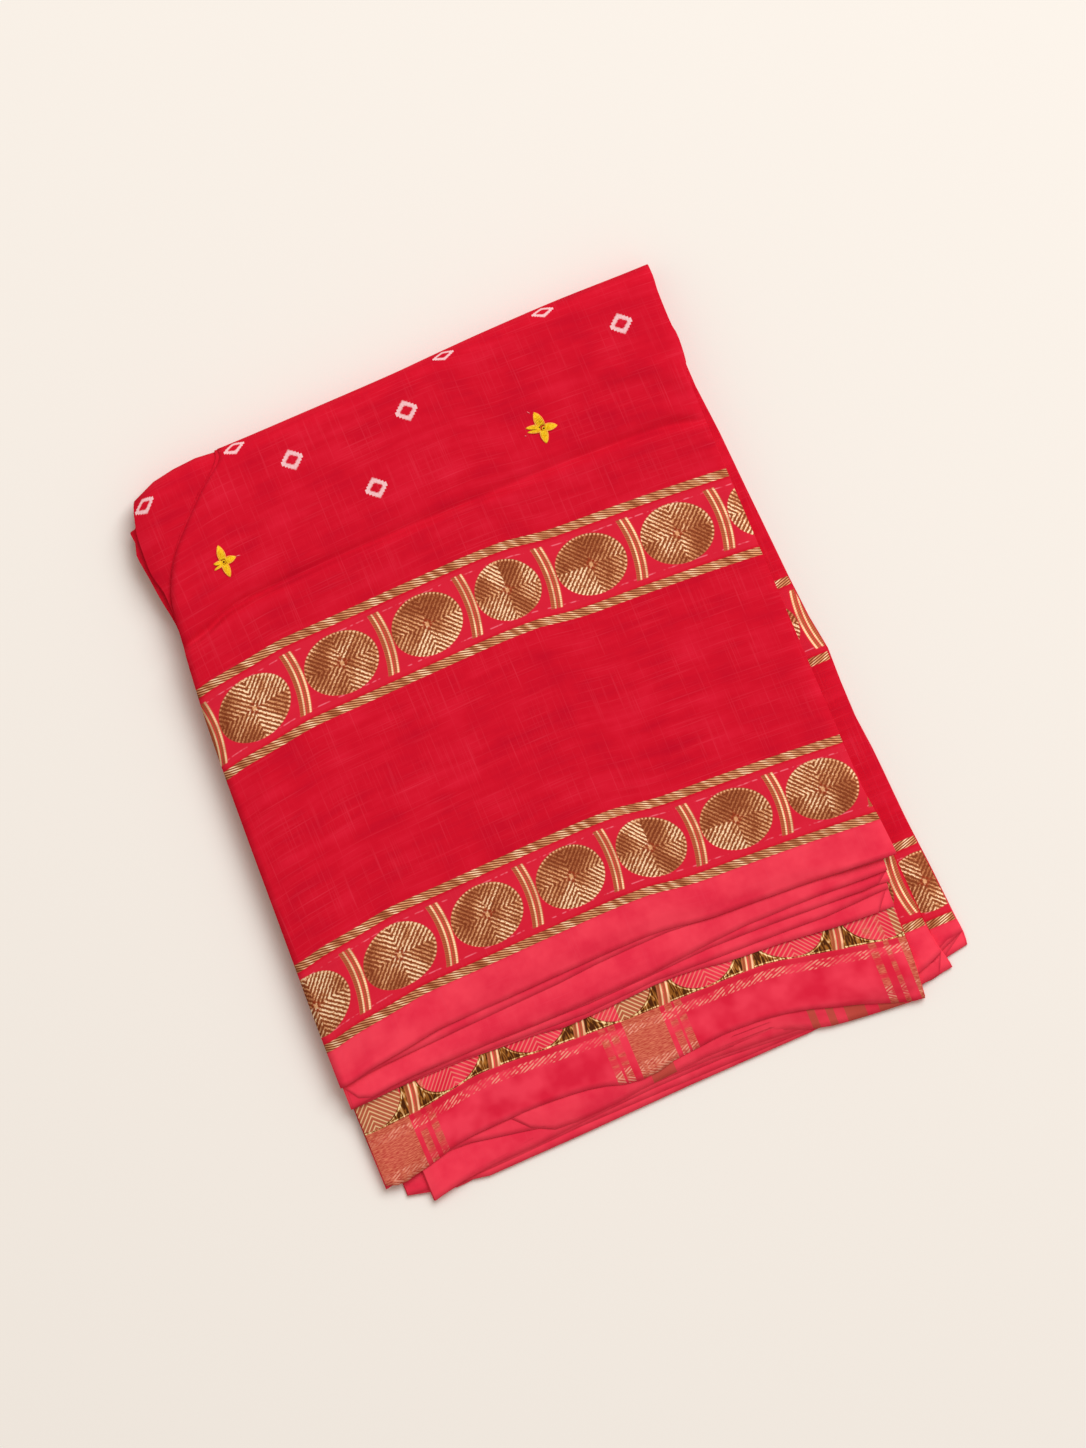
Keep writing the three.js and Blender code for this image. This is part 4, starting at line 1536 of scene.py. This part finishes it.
stitches = bmesh.new()
for star in STARS:
    across, down = star["place"]
    for petal in star["petals"]:
        for i in range(THREADS_PER_PETAL):
            offset = 2 * i / (THREADS_PER_PETAL - 1) - 1
            # The outer stitches of each petal take the orange finish, which is partly painted shade along
            # the petal's edge.
            finish = SHADED_ORANGE_EDGE if abs(offset) == 1 else YELLOW
            lay_thread(stitches, petal_line(star, petal, offset), THREAD_RADIUS, finish)
    for loose in star["loose"]:
        line = [cloth_top(across + x, down - y) + Vector((0, 0, 0.25)) for x, y in loose]
        lay_thread(stitches, line, THREAD_RADIUS * 0.7, PINK_END)
    for i, (x, y, size) in enumerate(star["holes"]):
        middle = cloth_top(across + x, down - y) + Vector((0, 0, 0.75))
        made = bmesh.ops.create_uvsphere(stitches, u_segments=8, v_segments=5, radius=size * MM)
        for vert in made["verts"]:
            vert.co.z *= 0.5
            vert.co += middle * MM
        for face in {face for vert in made["verts"] for face in vert.link_faces}:
            face.material_index = HOLE
        if i == 0:
            turns = [math.tau * step / RING_STEPS for step in range(RING_STEPS + 1)]
            ring = [middle + Vector((math.cos(t), math.sin(t), 0)) * size * 2 for t in turns]
            lay_thread(stitches, ring, THREAD_RADIUS * 0.8, YELLOW)
bmesh.ops.recalc_face_normals(stitches, faces=stitches.faces[:])
stars = bpy.data.objects.new("sewn_stars", bpy.data.meshes.new("sewn_stars"))
stitches.to_mesh(stars.data)
stitches.free()
bpy.context.collection.objects.link(stars)
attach(stars, "root")
print("faces of the stars:", len(stars.data.polygons))

# %% [markdown]
# The thread is six-strand cotton, mercerised, so it is smoother than the woven ground. Yellow dye
# takes unevenly on it, so a fine noise varies its colour. The outer stitches are painted more orange:
# partly the red cloth showing through them, partly painted shade along the edges of the petals.

# %% The thread of the stars
THREAD_ROUGHNESS = 0.6
DYE_SCALE = 1500.0  # patches of dye about two thirds of a millimetre long
THREAD_FINISHES = [
    ("yellow embroidery cotton", "#EDB50E", "#FFDA34"),
    ("orange embroidery cotton with painted edge shade", "#F0A02E", "#FFC65A"),
    ("pink sewing cotton", "#EE5568", "#F98A92"),
    ("needle hole in shade", "#2A0C04", "#3E1407"),
]
for name, deep, pale in THREAD_FINISHES:
    finish, tree, shader = cloth_material(name)
    spot = add(tree, "TexCoord").outputs["Object"]
    uneven = add(tree, "TexNoise", spot, DYE_SCALE, 1.0, 0.5)
    colour = add(tree, "ValToRGB", uneven, stops=[(0.38, linear(deep)), (0.62, linear(pale))])
    feed_socket(tree, shader.inputs["Base Color"], colour)
    feed_socket(tree, shader.inputs["Roughness"], THREAD_ROUGHNESS)
    stars.data.materials.append(finish)
print("thread finishes:", len(stars.data.materials))

# %% [markdown]
# The floor is a plain pale sheet, painted matt, so it shows no gloss of the light.

# %% The floor
FLOOR_HALF = 4.0
floor_mesh = bmesh.new()
bmesh.ops.create_grid(floor_mesh, x_segments=1, y_segments=1, size=FLOOR_HALF)
floor = bpy.data.objects.new("pale_floor", bpy.data.meshes.new("pale_floor"))
floor_mesh.to_mesh(floor.data)
floor_mesh.free()
bpy.context.collection.objects.link(floor)
floor_paint = bpy.data.materials.new("matt cream paint")
floor_paint.use_nodes = True
paint = floor_paint.node_tree.nodes["Principled BSDF"].inputs
paint["Base Color"].default_value = linear("#F2F0EC")
paint["Roughness"].default_value = 1.0
paint["Specular IOR Level"].default_value = 0.0
floor.data.materials.append(floor_paint)
print("floor, m:", 2 * FLOOR_HALF)

# %% [markdown]
# The light is soft daylight from the upper right. A large area light gives the wide soft shadow at
# the left of the packet, and the even surroundings keep that shadow light, as a white room does. The
# standard view shows the reds as they are, without a film's soft roll-off.

# %% The lights
KEY_PLACE = Vector((2.5, 2.3, 4.6))
KEY_SIZE, KEY_WATTS = 4.0, 268
ROOM_STRENGTH = 0.46
key_data = bpy.data.lights.new("window light", "AREA")
key_data.energy = KEY_WATTS
key_data.size = KEY_SIZE
key = bpy.data.objects.new("window light", key_data)
key.location = KEY_PLACE
key.rotation_euler = (-KEY_PLACE).to_track_quat("-Z", "Y").to_euler()
bpy.context.collection.objects.link(key)

surroundings = bpy.data.worlds.new("warm white room")
surroundings.use_nodes = True
room = surroundings.node_tree.nodes["Background"]
room.inputs["Color"].default_value = linear("#FFEFE0")
room.inputs["Strength"].default_value = ROOM_STRENGTH
bpy.context.scene.world = surroundings
bpy.context.scene.view_settings.view_transform = "Standard"
print("key light, W:", KEY_WATTS)
